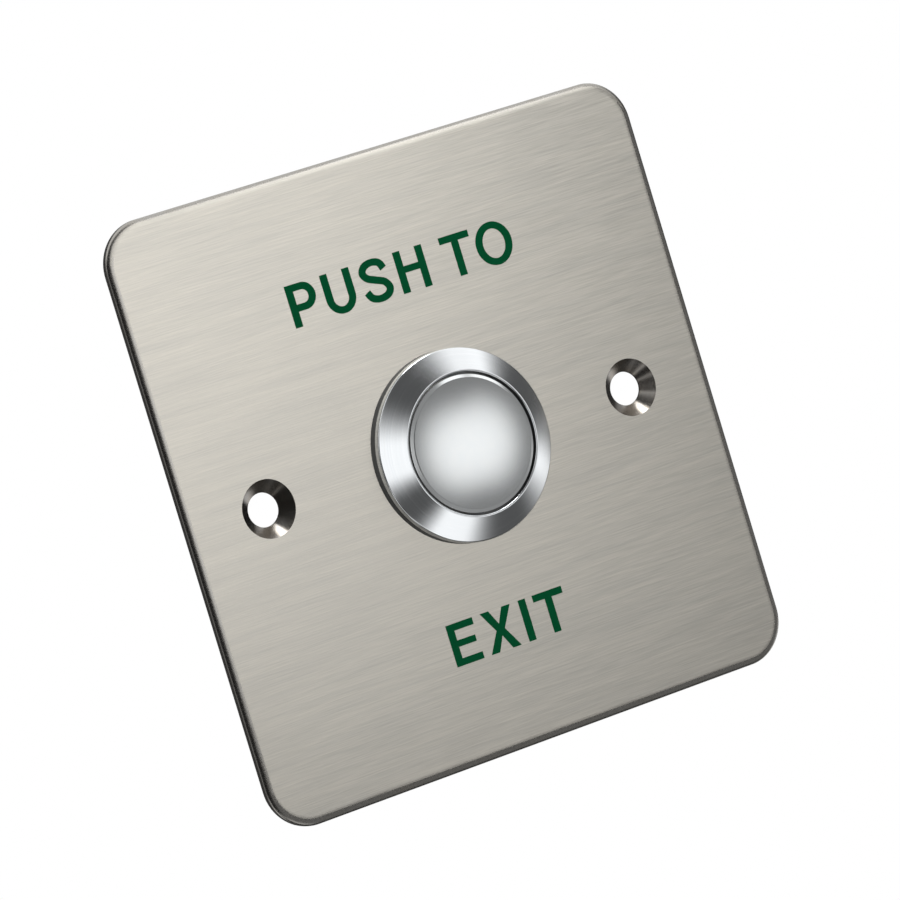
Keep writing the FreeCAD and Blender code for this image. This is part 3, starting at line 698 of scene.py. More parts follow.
def dress_where(piece: Piece, finish: Finish, wanted: Callable[[Vector, Vector], bool]) -> None:
    """Give some faces of a dressed piece another finish.

    Args:
        piece: The dressed mesh.
        finish: The other surface.
        wanted: Whether the face with this centre and normal has it.
    """
    piece.data.materials.append(finish.material())
    index = len(piece.data.materials) - 1
    for face in piece.data.polygons:
        if wanted(face.center, face.normal):
            face.material_index = index


def dress_node(node: str, finish: Finish) -> None:
    """Give a node of the frame a finish, in place of its plain one.

    Args:
        node: The node's name.
        finish: Its surface.
    """
    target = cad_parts[node]
    for slot in target.material_slots:
        slot.material = finish.material()
    if not target.material_slots:
        target.data.materials.append(finish.material())
    log.info("%s: kept, %s", node, finish.name)


def stand_for(piece: Piece, finish: Finish, body: Body, slot: str, *nodes: str) -> None:
    """Dress a piece and hang it on its body, in place of nodes of the frame.

    Args:
        piece: The finished piece.
        finish: Its surface.
        body: The body that it rides on.
        slot: Not used.
        *nodes: The nodes that it replaces.
    """
    dress(piece, finish)
    if nodes:
        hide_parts(*nodes)
    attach(piece, body.value)


@dataclass
class Measured:
    """A sub-assembly that takes its reach from one node of the frame."""

    NODE: ClassVar[str]
    low: Vector = field(init=False)
    high: Vector = field(init=False)

    def __post_init__(self) -> None:
        """Take the node's lowest and highest corners."""
        self.low, self.high = box_of(self.NODE)


@dataclass
class WallPlate(Measured):
    """The brushed plate with its countersunk holes."""

    NODE = "face_plate"
    corner_radius: float = 6.5 * MM
    corner_steps: int = 20
    front_round: float = 1.3 * MM
    front_steps: int = 12
    front_round_depth: float = 0.65 * MM
    brushed_depth: float = 0.12 * MM
    brushed_depth_below: float = 0.02 * MM
    back_round: float = 0.9 * MM
    back_steps: int = 8
    facing_up: float = 0.08
    screw_spacing: float = 60.3 * MM
    screw_hole: float = 4.8 * MM
    countersink: float = 8.2 * MM
    barrel_hole: float = 22.4 * MM

    def build(self) -> None:
        """Make the plate, its edges and holes smoother than its face, and darker as painted shade."""
        plate = self._plate()
        stand_for(plate, Finishes.PLATE, Body.HOUSING, "plate_steel", "face_plate")
        # The edges and hole walls get a darker colour than the face as painted shade.
        dress_where(plate, Finishes.PLATE_EDGE, self._is_edge)
        # The countersinks get a darker colour than the face as painted shade.
        dress_where(plate, Finishes.COUNTERSINK, self._is_countersink)

    def _is_edge(self, centre: Vector, normal: Vector) -> bool:
        """Tell the edges and the walls of the holes from the two flat faces."""
        depth = self.brushed_depth if normal.z > self.facing_up else self.brushed_depth_below
        return self.low.y + depth < centre.y < self.high.y - MERGE_DISTANCE

    def _is_countersink(self, centre: Vector, normal: Vector) -> bool:
        """Tell the walls of the two screw holes."""
        out = abs(abs(centre.x) - self.screw_spacing / 2) + abs(centre.z)
        return self._is_edge(centre, normal) and out < self.countersink

    def _plate(self) -> Piece:
        """Round a block's corners and front edge, then cut its three holes.

        Returns:
            The plate.
        """
        plate = Workbench.block("brushed_face_plate", self.low, self.high)
        front, back = self.low.y, self.high.y
        Workbench.bevel_edges(plate, self.corner_radius, self.corner_steps,
                              lambda a, b: abs(a.y - b.y) > abs(a.x - b.x) + abs(a.z - b.z))
        flatten = self.front_round_depth / self.front_round
        plate.data.transform(Matrix.Diagonal((1, 1 / flatten, 1, 1)))
        Workbench.bevel_edges(plate, self.front_round, self.front_steps,
                              lambda a, b: max(a.y, b.y) < front / flatten + MERGE_DISTANCE)
        plate.data.transform(Matrix.Diagonal((1, flatten, 1, 1)))
        Workbench.bevel_edges(plate, self.back_round, self.back_steps,
                              lambda a, b: min(a.y, b.y) > back - MERGE_DISTANCE)
        self._hold_faces(plate)
        depth = back - front
        for side in (-1, 1):
            Workbench.combine(plate, self._countersink(side, depth), "DIFFERENCE")
        radius = self.barrel_hole / 2
        hole = Workbench.turned("barrel_hole", (
            Corner(0, front - depth), Corner(radius, front - depth),
            Corner(radius, back + depth), Corner(0, back + depth),
        ), closed=False)
        Workbench.combine(plate, hole, "DIFFERENCE")
        Workbench.smooth(plate, ROUND_ANGLE)
        return plate

    @staticmethod
    def _hold_faces(plate: Piece) -> None:
        """Inset the front face a little, so that the rounding's shading stays on its own strip."""
        with Workbench.editing(plate, "DESELECT", "FACE"):
            mesh = bmesh.from_edit_mesh(plate.data)
            widest = max(mesh.faces, key=lambda face: face.calc_area() * (face.normal.y < -0.9))
            widest.select = True
            bmesh.update_edit_mesh(plate.data)
            bpy.ops.mesh.inset(thickness=HOLD * 2, depth=0)

    def _countersink(self, side: int, depth: float) -> Piece:
        """Turn the cutter for one screw hole.

        Args:
            side: -1 for the left hole, 1 for the right one.
            depth: The plate's thickness.

        Returns:
            The cutter, in its place.
        """
        front = self.low.y
        hole = self.screw_hole / 2
        mouth = self.countersink / 2
        cutter = Workbench.turned("countersink", (
            Corner(0, front - depth), Corner(mouth + depth, front - depth),
            Corner(hole, front + mouth - hole), Corner(hole, self.high.y + depth),
            Corner(0, self.high.y + depth),
        ), closed=False, steps=SMALL_TURN_STEPS)
        cutter.location = (side * self.screw_spacing / 2, 0, 0)
        Workbench.settle(cutter)
        return cutter


@dataclass
class Printing:
    """The two printed lines, drawn from strokes of even width."""

    height: float = 5.97
    stem: float = 1.18
    arm: float = 1.0
    face: float = -2.0
    film: float = 0.015
    upper_line: float = 22.25
    lower_line: float = -29.17
    upper_word: tuple[tuple[str, float, float], ...] = (
        ("P", -18.1, 4.5), ("U", -12.38, 4.76), ("S", -6.38, 4.72), ("H", -0.4, 4.77),
        ("T", 7.2, 4.9), ("O", 12.68, 5.9),
    )
    lower_word: tuple[tuple[str, float, float], ...] = (
        ("E", -9.42, 4.5), ("X", -3.72, 5.05), ("I", 2.65, 1.2), ("T", 5.0, 4.95),
    )

    def build(self) -> None:
        """Print both lines on the plate."""
        for name, line, word in (("push_words", self.upper_line, self.upper_word),
                                 ("exit_word", self.lower_line, self.lower_word)):
            shapes = [self._solid(outline, left, line) for sign, left, width in word
                      for outline in self._outlines(sign, width)]
            stand_for(Workbench.join(name, shapes), Finishes.PRINT, Body.HOUSING, "plate_steel")

    def _outlines(self, sign: str, width: float) -> list[Shape]:
        """Draw a letter as closed shapes from its lower left corner.

        Args:
            sign: The letter.
            width: Its width in millimetres.

        Returns:
            Its shapes, each one loop, or an outer and an inner one.
        """
        h, s, a = self.height, self.stem, self.arm
        right, middle, half = width - s, width / 2, s / 2
        if sign == "E":
            return [self._bar(0, 0, s, h), self._bar(s, 0, width, a), self._bar(s, h - a, width - 0.1, h),
                    self._bar(s, h / 2 - 0.35, width - 0.38, h / 2 + a - 0.42)]
        if sign == "H":
            return [self._bar(0, 0, s, h), self._bar(right, 0, width, h),
                    self._bar(s, h / 2 - 0.22, right, h / 2 + a - 0.26)]
        if sign == "T":
            return [self._bar(0, h - a, width, h), self._bar(middle - half, 0, middle + half, h - a)]
        if sign == "I":
            return [self._bar(0, 0, width, h)]
        if sign == "X":
            cut, waist = 1.42, 0.86
            return [[[(0, 0), (cut, 0), (middle, h / 2 - waist), (width - cut, 0), (width, 0),
                      (middle + cut / 2, h / 2), (width, h), (width - cut, h), (middle, h / 2 + waist),
                      (cut, h), (0, h), (middle - cut / 2, h / 2)]]]
        if sign == "U":
            reach = middle - half
            path = [(half, h), (half, reach + half)]
            path += self._arc(middle, reach + half - 0.1, reach, reach, math.pi, math.tau)
            return [[self._ribbon(path + [(width - half, reach + half), (width - half, h)])]]
        if sign == "P":
            low, high = 2.1 + a / 2, h - a / 2
            reach = (high - low) / 2
            bowl = [(s, high)] + self._arc(width - half - reach, low + reach, reach, reach,
                                           math.pi / 2, -math.pi / 2) + [(s, low)]
            return [self._bar(0, 0, s, h), [self._ribbon(bowl)]]
        if sign == "S":
            spine = ((0.845, 0.725), (0.74, 0.885), (0.49, 0.937), (0.24, 0.885), (0.125, 0.745),
                     (0.23, 0.605), (0.49, 0.515), (0.77, 0.42), (0.885, 0.26), (0.775, 0.122),
                     (0.5, 0.07), (0.235, 0.13), (0.11, 0.29))
            return [[self._ribbon(self._eased([(x * width, z * h) for x, z in spine]))]]
        rise = h / 2 + 0.12
        return [[self._arc(middle, h / 2, middle, rise, 0, math.tau)[:-1],
                 self._arc(middle, h / 2, middle - s, rise - a, 0, math.tau)[:-1]]]

    @staticmethod
    def _bar(left: float, foot: float, right: float, top: float) -> Shape:
        """Draw a straight bar."""
        return [[(left, foot), (right, foot), (right, top), (left, top)]]

    @staticmethod
    def _arc(x: float, z: float, across: float, up: float, start: float, end: float) -> list[Point]:
        """Draw points along an elliptical arc."""
        angles = (start + (end - start) * k / CURVE_STEPS for k in range(CURVE_STEPS + 1))
        return [(x + across * math.cos(t), z + up * math.sin(t)) for t in angles]

    @staticmethod
    def _eased(path: Sequence[Point]) -> list[Point]:
        """Pass a smooth line through points."""
        ends = [path[0], *path, path[-1]]
        eased: list[Point] = []
        for a, b, c, d in zip(ends, ends[1:], ends[2:], ends[3:]):
            for k in range(EASE_STEPS):
                t = k / EASE_STEPS
                eased.append(tuple(
                    0.5 * (2 * q + (r - p) * t + (2 * p - 5 * q + 4 * r - u) * t * t
                           + (3 * q - p - 3 * r + u) * t ** 3)
                    for p, q, r, u in zip(a, b, c, d)))
        return eased + [path[-1]]

    def _ribbon(self, path: Sequence[Point]) -> list[Point]:
        """Give a line the width of a stroke, a little less where it runs level."""
        left: list[Point] = []
        right: list[Point] = []
        for i, (x, z) in enumerate(path):
            before, after = path[max(i - 1, 0)], path[min(i + 1, len(path) - 1)]
            along = Vector((after[0] - before[0], after[1] - before[1])).normalized()
            half = (self.stem * abs(along.y) + self.arm * abs(along.x)) / 2
            half /= abs(along.x) + abs(along.y)
            left.append((x - along.y * half, z + along.x * half))
            right.append((x + along.y * half, z - along.x * half))
        return left + right[::-1]

    def _solid(self, loops: Sequence[Sequence[Point]], left: float, line: float) -> Piece:
        """Fill a shape, raise it by the film's thickness and set it on the plate's face.

        Args:
            loops: The outer loop and, for a ring, the inner one.
            left: Where the letter starts, in millimetres.
            line: Height of its foot, in millimetres.

        Returns:
            The raised shape.
        """
        placed = [[((left + x) * MM, (line + z) * MM) for x, z in loop] for loop in loops]
        parts = [Workbench.outline("stroke", points, closed=True) for points in placed]
        shape = Workbench.join("stroke", parts) if len(parts) > 1 else parts[0]
        with Workbench.editing(shape):
            if len(parts) > 1:
                bpy.ops.mesh.bridge_edge_loops()
            else:
                bpy.ops.mesh.edge_face_add()
            bpy.ops.mesh.select_all(action="SELECT")
            bpy.ops.mesh.extrude_region_move(TRANSFORM_OT_translate={"value": (0, 0, self.film * MM)})
            Workbench.face_outwards()
        lift = Matrix.Translation((0, self.face * MM, 0))
        shape.data.transform(lift @ Matrix.Rotation(math.pi / 2, 4, "X"))
        return shape


@dataclass
class BezelAndBarrel(Measured):
    """The turned bezel with its threaded barrel, and what clamps it in the plate."""

    NODE = "bezel_housing"
    cap_bore: float = 9.95 * MM
    hub_bore: float = 9.0 * MM
    base_bore: float = 9.5 * MM
    barrel: float = 11.0 * MM
    lip_width: float = 0.33 * MM
    flange_front: float = -5.55 * MM
    flange_back: float = -3.2 * MM
    bright_rim: float = 0.9 * MM
    bore_edge: float = 0.06 * MM
    lip_inner_round: float = 0.24 * MM
    lip_outer_round: float = 0.06 * MM
    flange_front_round: float = 0.4 * MM
    flange_back_round: float = 0.15 * MM
    end_round: float = 0.05 * MM
    step_round: float = 0.1 * MM
    rim_band: float = 0.2 * MM
    cap_shoulder: float = -3.7 * MM
    base_shoulder: float = 8.5 * MM
    groove_front: float = 19.2 * MM
    groove_back: float = 20.2 * MM
    groove_depth: float = 0.45 * MM
    barrel_chamfer: float = 0.5 * MM
    thread_pitch: float = 1.0 * MM
    thread_depth: float = 0.58 * MM
    thread_start: float = -1.0 * MM
    thread_steps: int = 72
    gasket_round: float = 0.35 * MM
    broken_edge: float = 0.08 * MM
    nut_wall: float = 2.5 * MM

    def build(self) -> None:
        """Make the bezel, gasket, lock washer and nut."""
        housing, gasket = self._housing(), self._gasket()
        housing.visible_glossy = gasket.visible_glossy = False
        stand_for(housing, Finishes.BEZEL, Body.HOUSING, "bezel_metal", "bezel_housing")
        # The flange's rear side and the wall round the cap get the painted shade finish.
        dress_where(housing, Finishes.PAINTED_SHADE_RIM, self._is_painted_shade)
        stand_for(gasket, Finishes.RUBBER, Body.HOUSING, "black_rubber", "panel_gasket")
        washer = Workbench.softened_copy("lock_washer", "toothed_lock_washer", self.broken_edge)
        stand_for(washer, Finishes.ZINC, Body.HOUSING, "plated_steel", "lock_washer")
        stand_for(self._nut(), Finishes.NICKEL, Body.HOUSING, "plated_brass", "mounting_nut")

    def _is_painted_shade(self, centre: Vector, _: Vector) -> bool:
        """Tell the flange's rear side and the wall round the cap, which get painted shade."""
        radius = math.hypot(centre.x, centre.z)
        side = radius > self.high.x - self.rim_band and centre.y > self.flange_front + self.bright_rim
        wall = radius < self.cap_bore + self.bore_edge and centre.y < self.cap_shoulder
        return side or wall

    def _housing(self) -> Piece:
        """Turn the bezel and barrel in one piece and wind the thread on it.

        Returns:
            The housing.
        """
        lip, flange, end = self.low.y, self.high.x, self.high.y
        root = self.barrel - self.thread_depth
        groove = self.base_bore + self.groove_depth
        body = Workbench.turned("bezel_and_barrel", (
            Corner(self.cap_bore, lip, self.lip_inner_round),
            Corner(self.cap_bore + self.lip_width, lip, self.lip_outer_round),
            Corner(flange, self.flange_front, self.flange_front_round),
            Corner(flange, self.flange_front + self.bright_rim),
            Corner(flange, self.flange_back, self.flange_back_round),
            Corner(root, self.flange_back),
            Corner(root, end - self.barrel_chamfer),
            Corner(root - 0.1 * MM, end, self.end_round),
            Corner(self.base_bore, end, self.end_round),
            Corner(self.base_bore, self.groove_back),
            Corner(groove, self.groove_back),
            Corner(groove, self.groove_front),
            Corner(self.base_bore, self.groove_front),
            Corner(self.base_bore, self.base_shoulder),
            Corner(self.hub_bore, self.base_shoulder, self.step_round),
            Corner(self.hub_bore, self.cap_shoulder, self.step_round),
            Corner(self.cap_bore, self.cap_shoulder),
        ), steps=FINE_TURN_STEPS)
        return Workbench.join("bezel_and_barrel", (body, self._thread(root, end)))

    def _thread(self, root: float, end: float) -> Piece:
        """Wind one thread ridge along the barrel.

        Args:
            root: Radius at the thread's root.
            end: Depth of the barrel's end.

        Returns:
            The ridge.
        """
        foot = self.thread_pitch / 2 * 0.86
        crest = self.thread_pitch / 16
        buried = root - 0.05 * MM
        points = ((buried, self.thread_start - foot), (self.barrel, self.thread_start - crest),
                  (self.barrel, self.thread_start + crest), (buried, self.thread_start + foot))
        ridge = Workbench.outline("thread_ridge", points, closed=True)
        turns = int((end - self.thread_pitch / 2 - self.thread_start) / self.thread_pitch)
        Workbench.modify(ridge, "SCREW", axis="Y", steps=self.thread_steps, render_steps=self.thread_steps,
                         screw_offset=self.thread_pitch, iterations=turns, use_normal_calculate=True)
        with Workbench.editing(ridge):
            bpy.ops.mesh.fill_holes(sides=len(points))
            Workbench.face_outwards()
        Workbench.smooth(ridge, THREAD_ANGLE)
        return ridge

    def _gasket(self) -> Piece:
        """Turn the pressed rubber ring, its rim bulging a little."""
        rim, back = box_of("panel_gasket")[1].xy
        inner = self.barrel + 0.2 * MM
        return Workbench.turned("bezel_gasket", (
            Corner(inner, self.flange_back), Corner(rim, self.flange_back, self.gasket_round),
            Corner(rim, back, self.gasket_round), Corner(inner, back),
        ))

    def _nut(self) -> Piece:
        """Shape the hexagon nut: a six-sided block, its corners turned off and its bore cut.

        Returns:
            The nut.
        """
        low, high = box_of("mounting_nut")
        flat = self.barrel + self.nut_wall
        sixth = math.radians(30)
        corner = flat / math.cos(sixth)
        thickness = high.y - low.y
        Workbench.clear_selection()
        bpy.ops.mesh.primitive_cylinder_add(vertices=6, radius=corner, depth=thickness,
                                            location=(0, (low.y + high.y) / 2, 0),
                                            rotation=(math.radians(90), 0, 0))
        nut = Workbench.named("hexagon_nut")
        Workbench.settle(nut)
        widest = max(abs(v.co.z) for v in nut.data.vertices)
        if abs(widest - high.z) > MERGE_DISTANCE * 10:
            nut.data.transform(Matrix.Rotation(sixth, 4, "Y"))
        fall = (corner - flat) * math.tan(sixth)
        envelope = Workbench.turned("nut_envelope", (
            Corner(0, low.y - thickness), Corner(corner * 1.2, low.y - thickness),
            Corner(corner * 1.2, high.y - fall - corner * 0.2 * math.tan(sixth)),
            Corner(flat, high.y), Corner(0, high.y),
        ), closed=False, steps=COARSE_TURN_STEPS)
        Workbench.combine(nut, envelope, "INTERSECT")
        bore = self.barrel + 0.05 * MM
        tool = Workbench.turned("nut_bore", (
            Corner(0, low.y - thickness), Corner(bore, low.y - thickness),
            Corner(bore, high.y - 0.3 * MM),
            Corner(self.barrel + 0.7 * MM, high.y + 0.35 * MM), Corner(0, high.y + 0.35 * MM),
        ), closed=False, steps=COARSE_TURN_STEPS)
        Workbench.combine(nut, tool, "DIFFERENCE")
        Workbench.soften(nut, self.broken_edge)
        return nut


@dataclass(frozen=True)
class Coil:
    """A compression spring with closed, ground ends.

    Attributes:
        name: The piece's name.
        node: The node that it replaces.
        start_body: Not used.
        start: Depth of its end there.
        end_body: Not used.
        end: Depth of that end.
        radius: Radius to the middle of the wire.
        wire: The wire's diameter.
        turns: Number of turns, the two closed ones included.
        gap: Gap in the closed turns.
    """

    name: str
    node: str
    start_body: Body
    start: float
    end_body: Body
    end: float
    radius: float
    wire: float
    turns: float
    gap: float = 0.1 * MM

    def build(self) -> None:
        """Wind the spring and grind its ends flat."""
        front, back = sorted((self.start, self.end))
        curve = bpy.data.curves.new(self.name, "CURVE")
        curve.dimensions = "3D"
        curve.bevel_depth = self.wire / 2
        curve.bevel_resolution = 3
        curve.use_fill_caps = True
        line = curve.splines.new("POLY")
        points = self._line(front, back)
        line.points.add(len(points) - 1)
        for point, place in zip(line.points, points):
            point.co = (*place, 1)
        spring = bpy.data.objects.new(self.name, curve)
        bpy.context.scene.collection.objects.link(spring)
        Workbench.pick(spring)
        bpy.ops.object.convert(target="MESH")
        piece = Workbench.named(self.name)
        for depth, inner in ((front, False), (back, True)):
            with Workbench.editing(piece):
                bpy.ops.mesh.bisect(plane_co=(0, depth, 0), plane_no=(0, 1, 0), use_fill=True,
                                    clear_inner=not inner, clear_outer=inner)
        Workbench.smooth(piece)
        dress(piece, Finishes.SPRING)
        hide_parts(self.node)
        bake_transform(piece)

    def _line(self, front: float, back: float) -> list[Triple]:
        """Place points along the middle of the wire.

        Args:
            front: Depth of the front end.
            back: Depth of the back end.

        Returns:
            The points in order.
        """
        closed = self.wire + self.gap
        open_turns = self.turns - 2
        pitch = (back - front - closed * 2) / open_turns
        points: list[Triple] = []
        for k in range(int(self.turns * CURVE_STEPS) + 1):
            turn = k / CURVE_STEPS
            opened = min(max(turn - 1, 0), open_turns)
            depth = front + closed * (turn - opened) + pitch * opened
            angle = math.tau * turn
            points.append((self.radius * math.cos(angle), depth, self.radius * math.sin(angle)))
        return points


@dataclass
class PushButton(Measured):
    """The domed cap, its seal, the return spring and the plunger."""

    NODE = "button_cap"
    hub: float = 8.9 * MM
    hollow: float = 6.4 * MM
    dome_rise: float = 0.7 * MM
    rim_round: float = 0.12 * MM
    rim_growth: float = 0.02 * MM
    painted_shade_side: float = 0.05 * MM
    shoulder_width: float = 0.5 * MM
    shoulder_blend: float = 0.5 * MM
    shoulder_slope: float = math.tan(math.radians(27))
    rim_depth: float = 1.2 * MM
    hub_round: float = 0.15 * MM
    inner_round: float = 0.1 * MM
    crown_round: float = 0.3 * MM
    dome_steps: int = 20
    crown: float = 2.6 * MM
    boss: float = 3.03 * MM
    boss_length: float = 3.4 * MM
    socket: float = 2.03 * MM
    socket_depth: float = 3.0 * MM
    seal_section: float = 1.2 * MM
    seal_play: float = 0.3 * MM
    seal_setback: float = 2.7 * MM
    seal_groove_depth: float = 1.3 * MM
    spring_wire: float = 0.6 * MM
    spring_turns: float = 6.0
    spring_front: float = -5.1 * MM
    spring_back: float = 8.5 * MM
    spring_radius: float = 5.1 * MM

    def build(self) -> None:
        """Make the cap, seal and spring, and dress what is kept."""
        cap = self._cap()
        stand_for(cap, Finishes.CAP, Body.BUTTON, "cap_steel", "button_cap")
        # The cap's side, in the gap round it, gets painted shade.
        side = self.high.x + self.rim_growth - self.painted_shade_side
        dress_where(cap, Finishes.PAINTED_SHADE_RIM, lambda centre, _: math.hypot(centre.x, centre.z) > side)
        stand_for(self._seal(), Finishes.RUBBER, Body.BUTTON, "black_rubber", "cap_seal")
        Coil("return_coil", "return_spring", Body.HOUSING, self.spring_back, Body.BUTTON,
             self.spring_front, self.spring_radius, self.spring_wire, self.spring_turns).build()
        dress_node("plunger", Finishes.WHITE_PLASTIC)
        dress_node("plunger_guide", Finishes.BLACK_PLASTIC)
        dress_node("bridge_clip", Finishes.SPRING)

    def _cap(self) -> Piece:
        """Turn the cap: a shallow dome, a sloping shoulder and the hollow hub.

        Returns:
            The cap.
        """
        apex, end = self.low.y, self.high.y
        rim = self.high.x
        edge = apex + self.dome_rise
        ball = (rim * rim + self.dome_rise * self.dome_rise) / (2 * self.dome_rise)
        shoulder = rim - self.shoulder_width
        radii = [shoulder * k / self.dome_steps for k in range(self.dome_steps + 1)]
        dome = [Corner(r, apex + ball - math.sqrt(ball * ball - r ** 2),
                       self.shoulder_blend if r == radii[-1] else 0) for r in radii]
        wide = rim + self.rim_growth
        fall = (wide - shoulder) * self.shoulder_slope
        groove_back = end - self.seal_setback
        groove_front = groove_back - self.seal_section - self.seal_play
        crown_back = edge + self.crown
        boss_end = crown_back + self.boss_length
        floor = self.hub - self.seal_groove_depth
        return Workbench.turned("domed_cap", (
            *dome,
            Corner(wide, dome[-1].depth + fall, self.rim_round),
            Corner(wide, edge + self.rim_depth, self.inner_round),
            Corner(self.hub, edge + self.rim_depth),
            Corner(self.hub, groove_front),
            Corner(floor, groove_front),
            Corner(floor, groove_back),
            Corner(self.hub, groove_back),
            Corner(self.hub, end, self.hub_round),
            Corner(self.hollow, end, self.inner_round),
            Corner(self.hollow, crown_back, self.crown_round),
            Corner(self.boss, crown_back, self.crown_round),
            Corner(self.boss, boss_end, self.hub_round),
            Corner(self.socket, boss_end),
            Corner(self.socket, boss_end - self.socket_depth),
            Corner(0, boss_end - self.socket_depth),
        ), closed=False, steps=FINE_TURN_STEPS, arc_steps=CAP_ARC_STEPS)

    def _seal(self) -> Piece:
        """Turn the O-ring from a round section."""
        low, high = box_of("cap_seal")
        section = self.seal_section / 2
        middle = high.x - section
        depth = (low.y + high.y) / 2
        turns = [math.tau * k / RING_STEPS for k in range(RING_STEPS)]
        ring = [Corner(middle + section * math.cos(t), depth + section * math.sin(t)) for t in turns]
        return Workbench.turned("hub_o_ring", ring, steps=SMALL_TURN_STEPS)


@dataclass
class SwitchBase:
    """The insulating base with its terminals, contacts and screws."""

    contact_wire: float = 0.4 * MM
    contact_turns: float = 3.0
    contact_front: float = 11.5 * MM
    contact_back: float = 13.8 * MM
    contact_radius: float = 1.8 * MM
    broken_edge: float = 0.07 * MM

    def build(self) -> None:
        """Make the pieces that show at the back, and dress the rest."""
        for node, name, slot, finish in (
            ("terminal_base", "moulded_base", "black_plastic", Finishes.BLACK_PLASTIC),
            ("base_retaining_ring", "snap_ring", "spring_steel", Finishes.SPRING),
            ("terminal_no", "terminal_strip_no", "terminal_brass", Finishes.BRASS),
            ("terminal_com", "terminal_strip_com", "terminal_brass", Finishes.BRASS),
            ("clamp_washer_left", "wire_clamp_left", "plated_steel", Finishes.ZINC),
            ("clamp_washer_right", "wire_clamp_right", "plated_steel", Finishes.ZINC),
            ("terminal_screw_left", "wire_screw_left", "plated_steel", Finishes.ZINC),
            ("terminal_screw_right", "wire_screw_right", "plated_steel", Finishes.ZINC),
        ):
            piece = Workbench.softened_copy(node, name, self.broken_edge)
            stand_for(piece, finish, Body.HOUSING, slot, node)
        dress_node("contact_bridge", Finishes.COPPER)
        for node in ("moving_contact_left", "moving_contact_right", "fixed_contact_left",
                     "fixed_contact_right"):
            dress_node(node, Finishes.SILVER)
        Coil("contact_coil", "contact_spring", Body.BUTTON, self.contact_front, Body.BRIDGE,
             self.contact_back, self.contact_radius, self.contact_wire, self.contact_turns).build()


@dataclass(frozen=True)
class Panel:
    """A soft patch of the studio that polished metal mirrors.

    Attributes:
        towards: Its direction, seen from the object.
        inner: Half angle of its even middle, in degrees.
        outer: Half angle at which it has faded out.
        level: Its brightness, where 1 is white.
    """

    towards: Triple
    inner: float
    outer: float
    level: float


@dataclass(frozen=True)
class Lamp:
    """A square lamp that points at the object.

    Attributes:
        name: Its name.
        place: Where it hangs.
        size: Its side.
        power: Its power in watts.
    """

    name: str
    place: Triple
    size: float
    power: float

    def hang(self) -> Piece:
        """Hang the lamp and return it."""
        light = bpy.data.lights.new(self.name, "AREA")
        light.size = self.size
        light.energy = self.power
        lamp = bpy.data.objects.new(self.name, light)
        lamp.location = self.place
        lamp.rotation_euler = (-Vector(self.place)).to_track_quat("-Z", "Y").to_euler()
        bpy.context.scene.collection.objects.link(lamp)
        return lamp


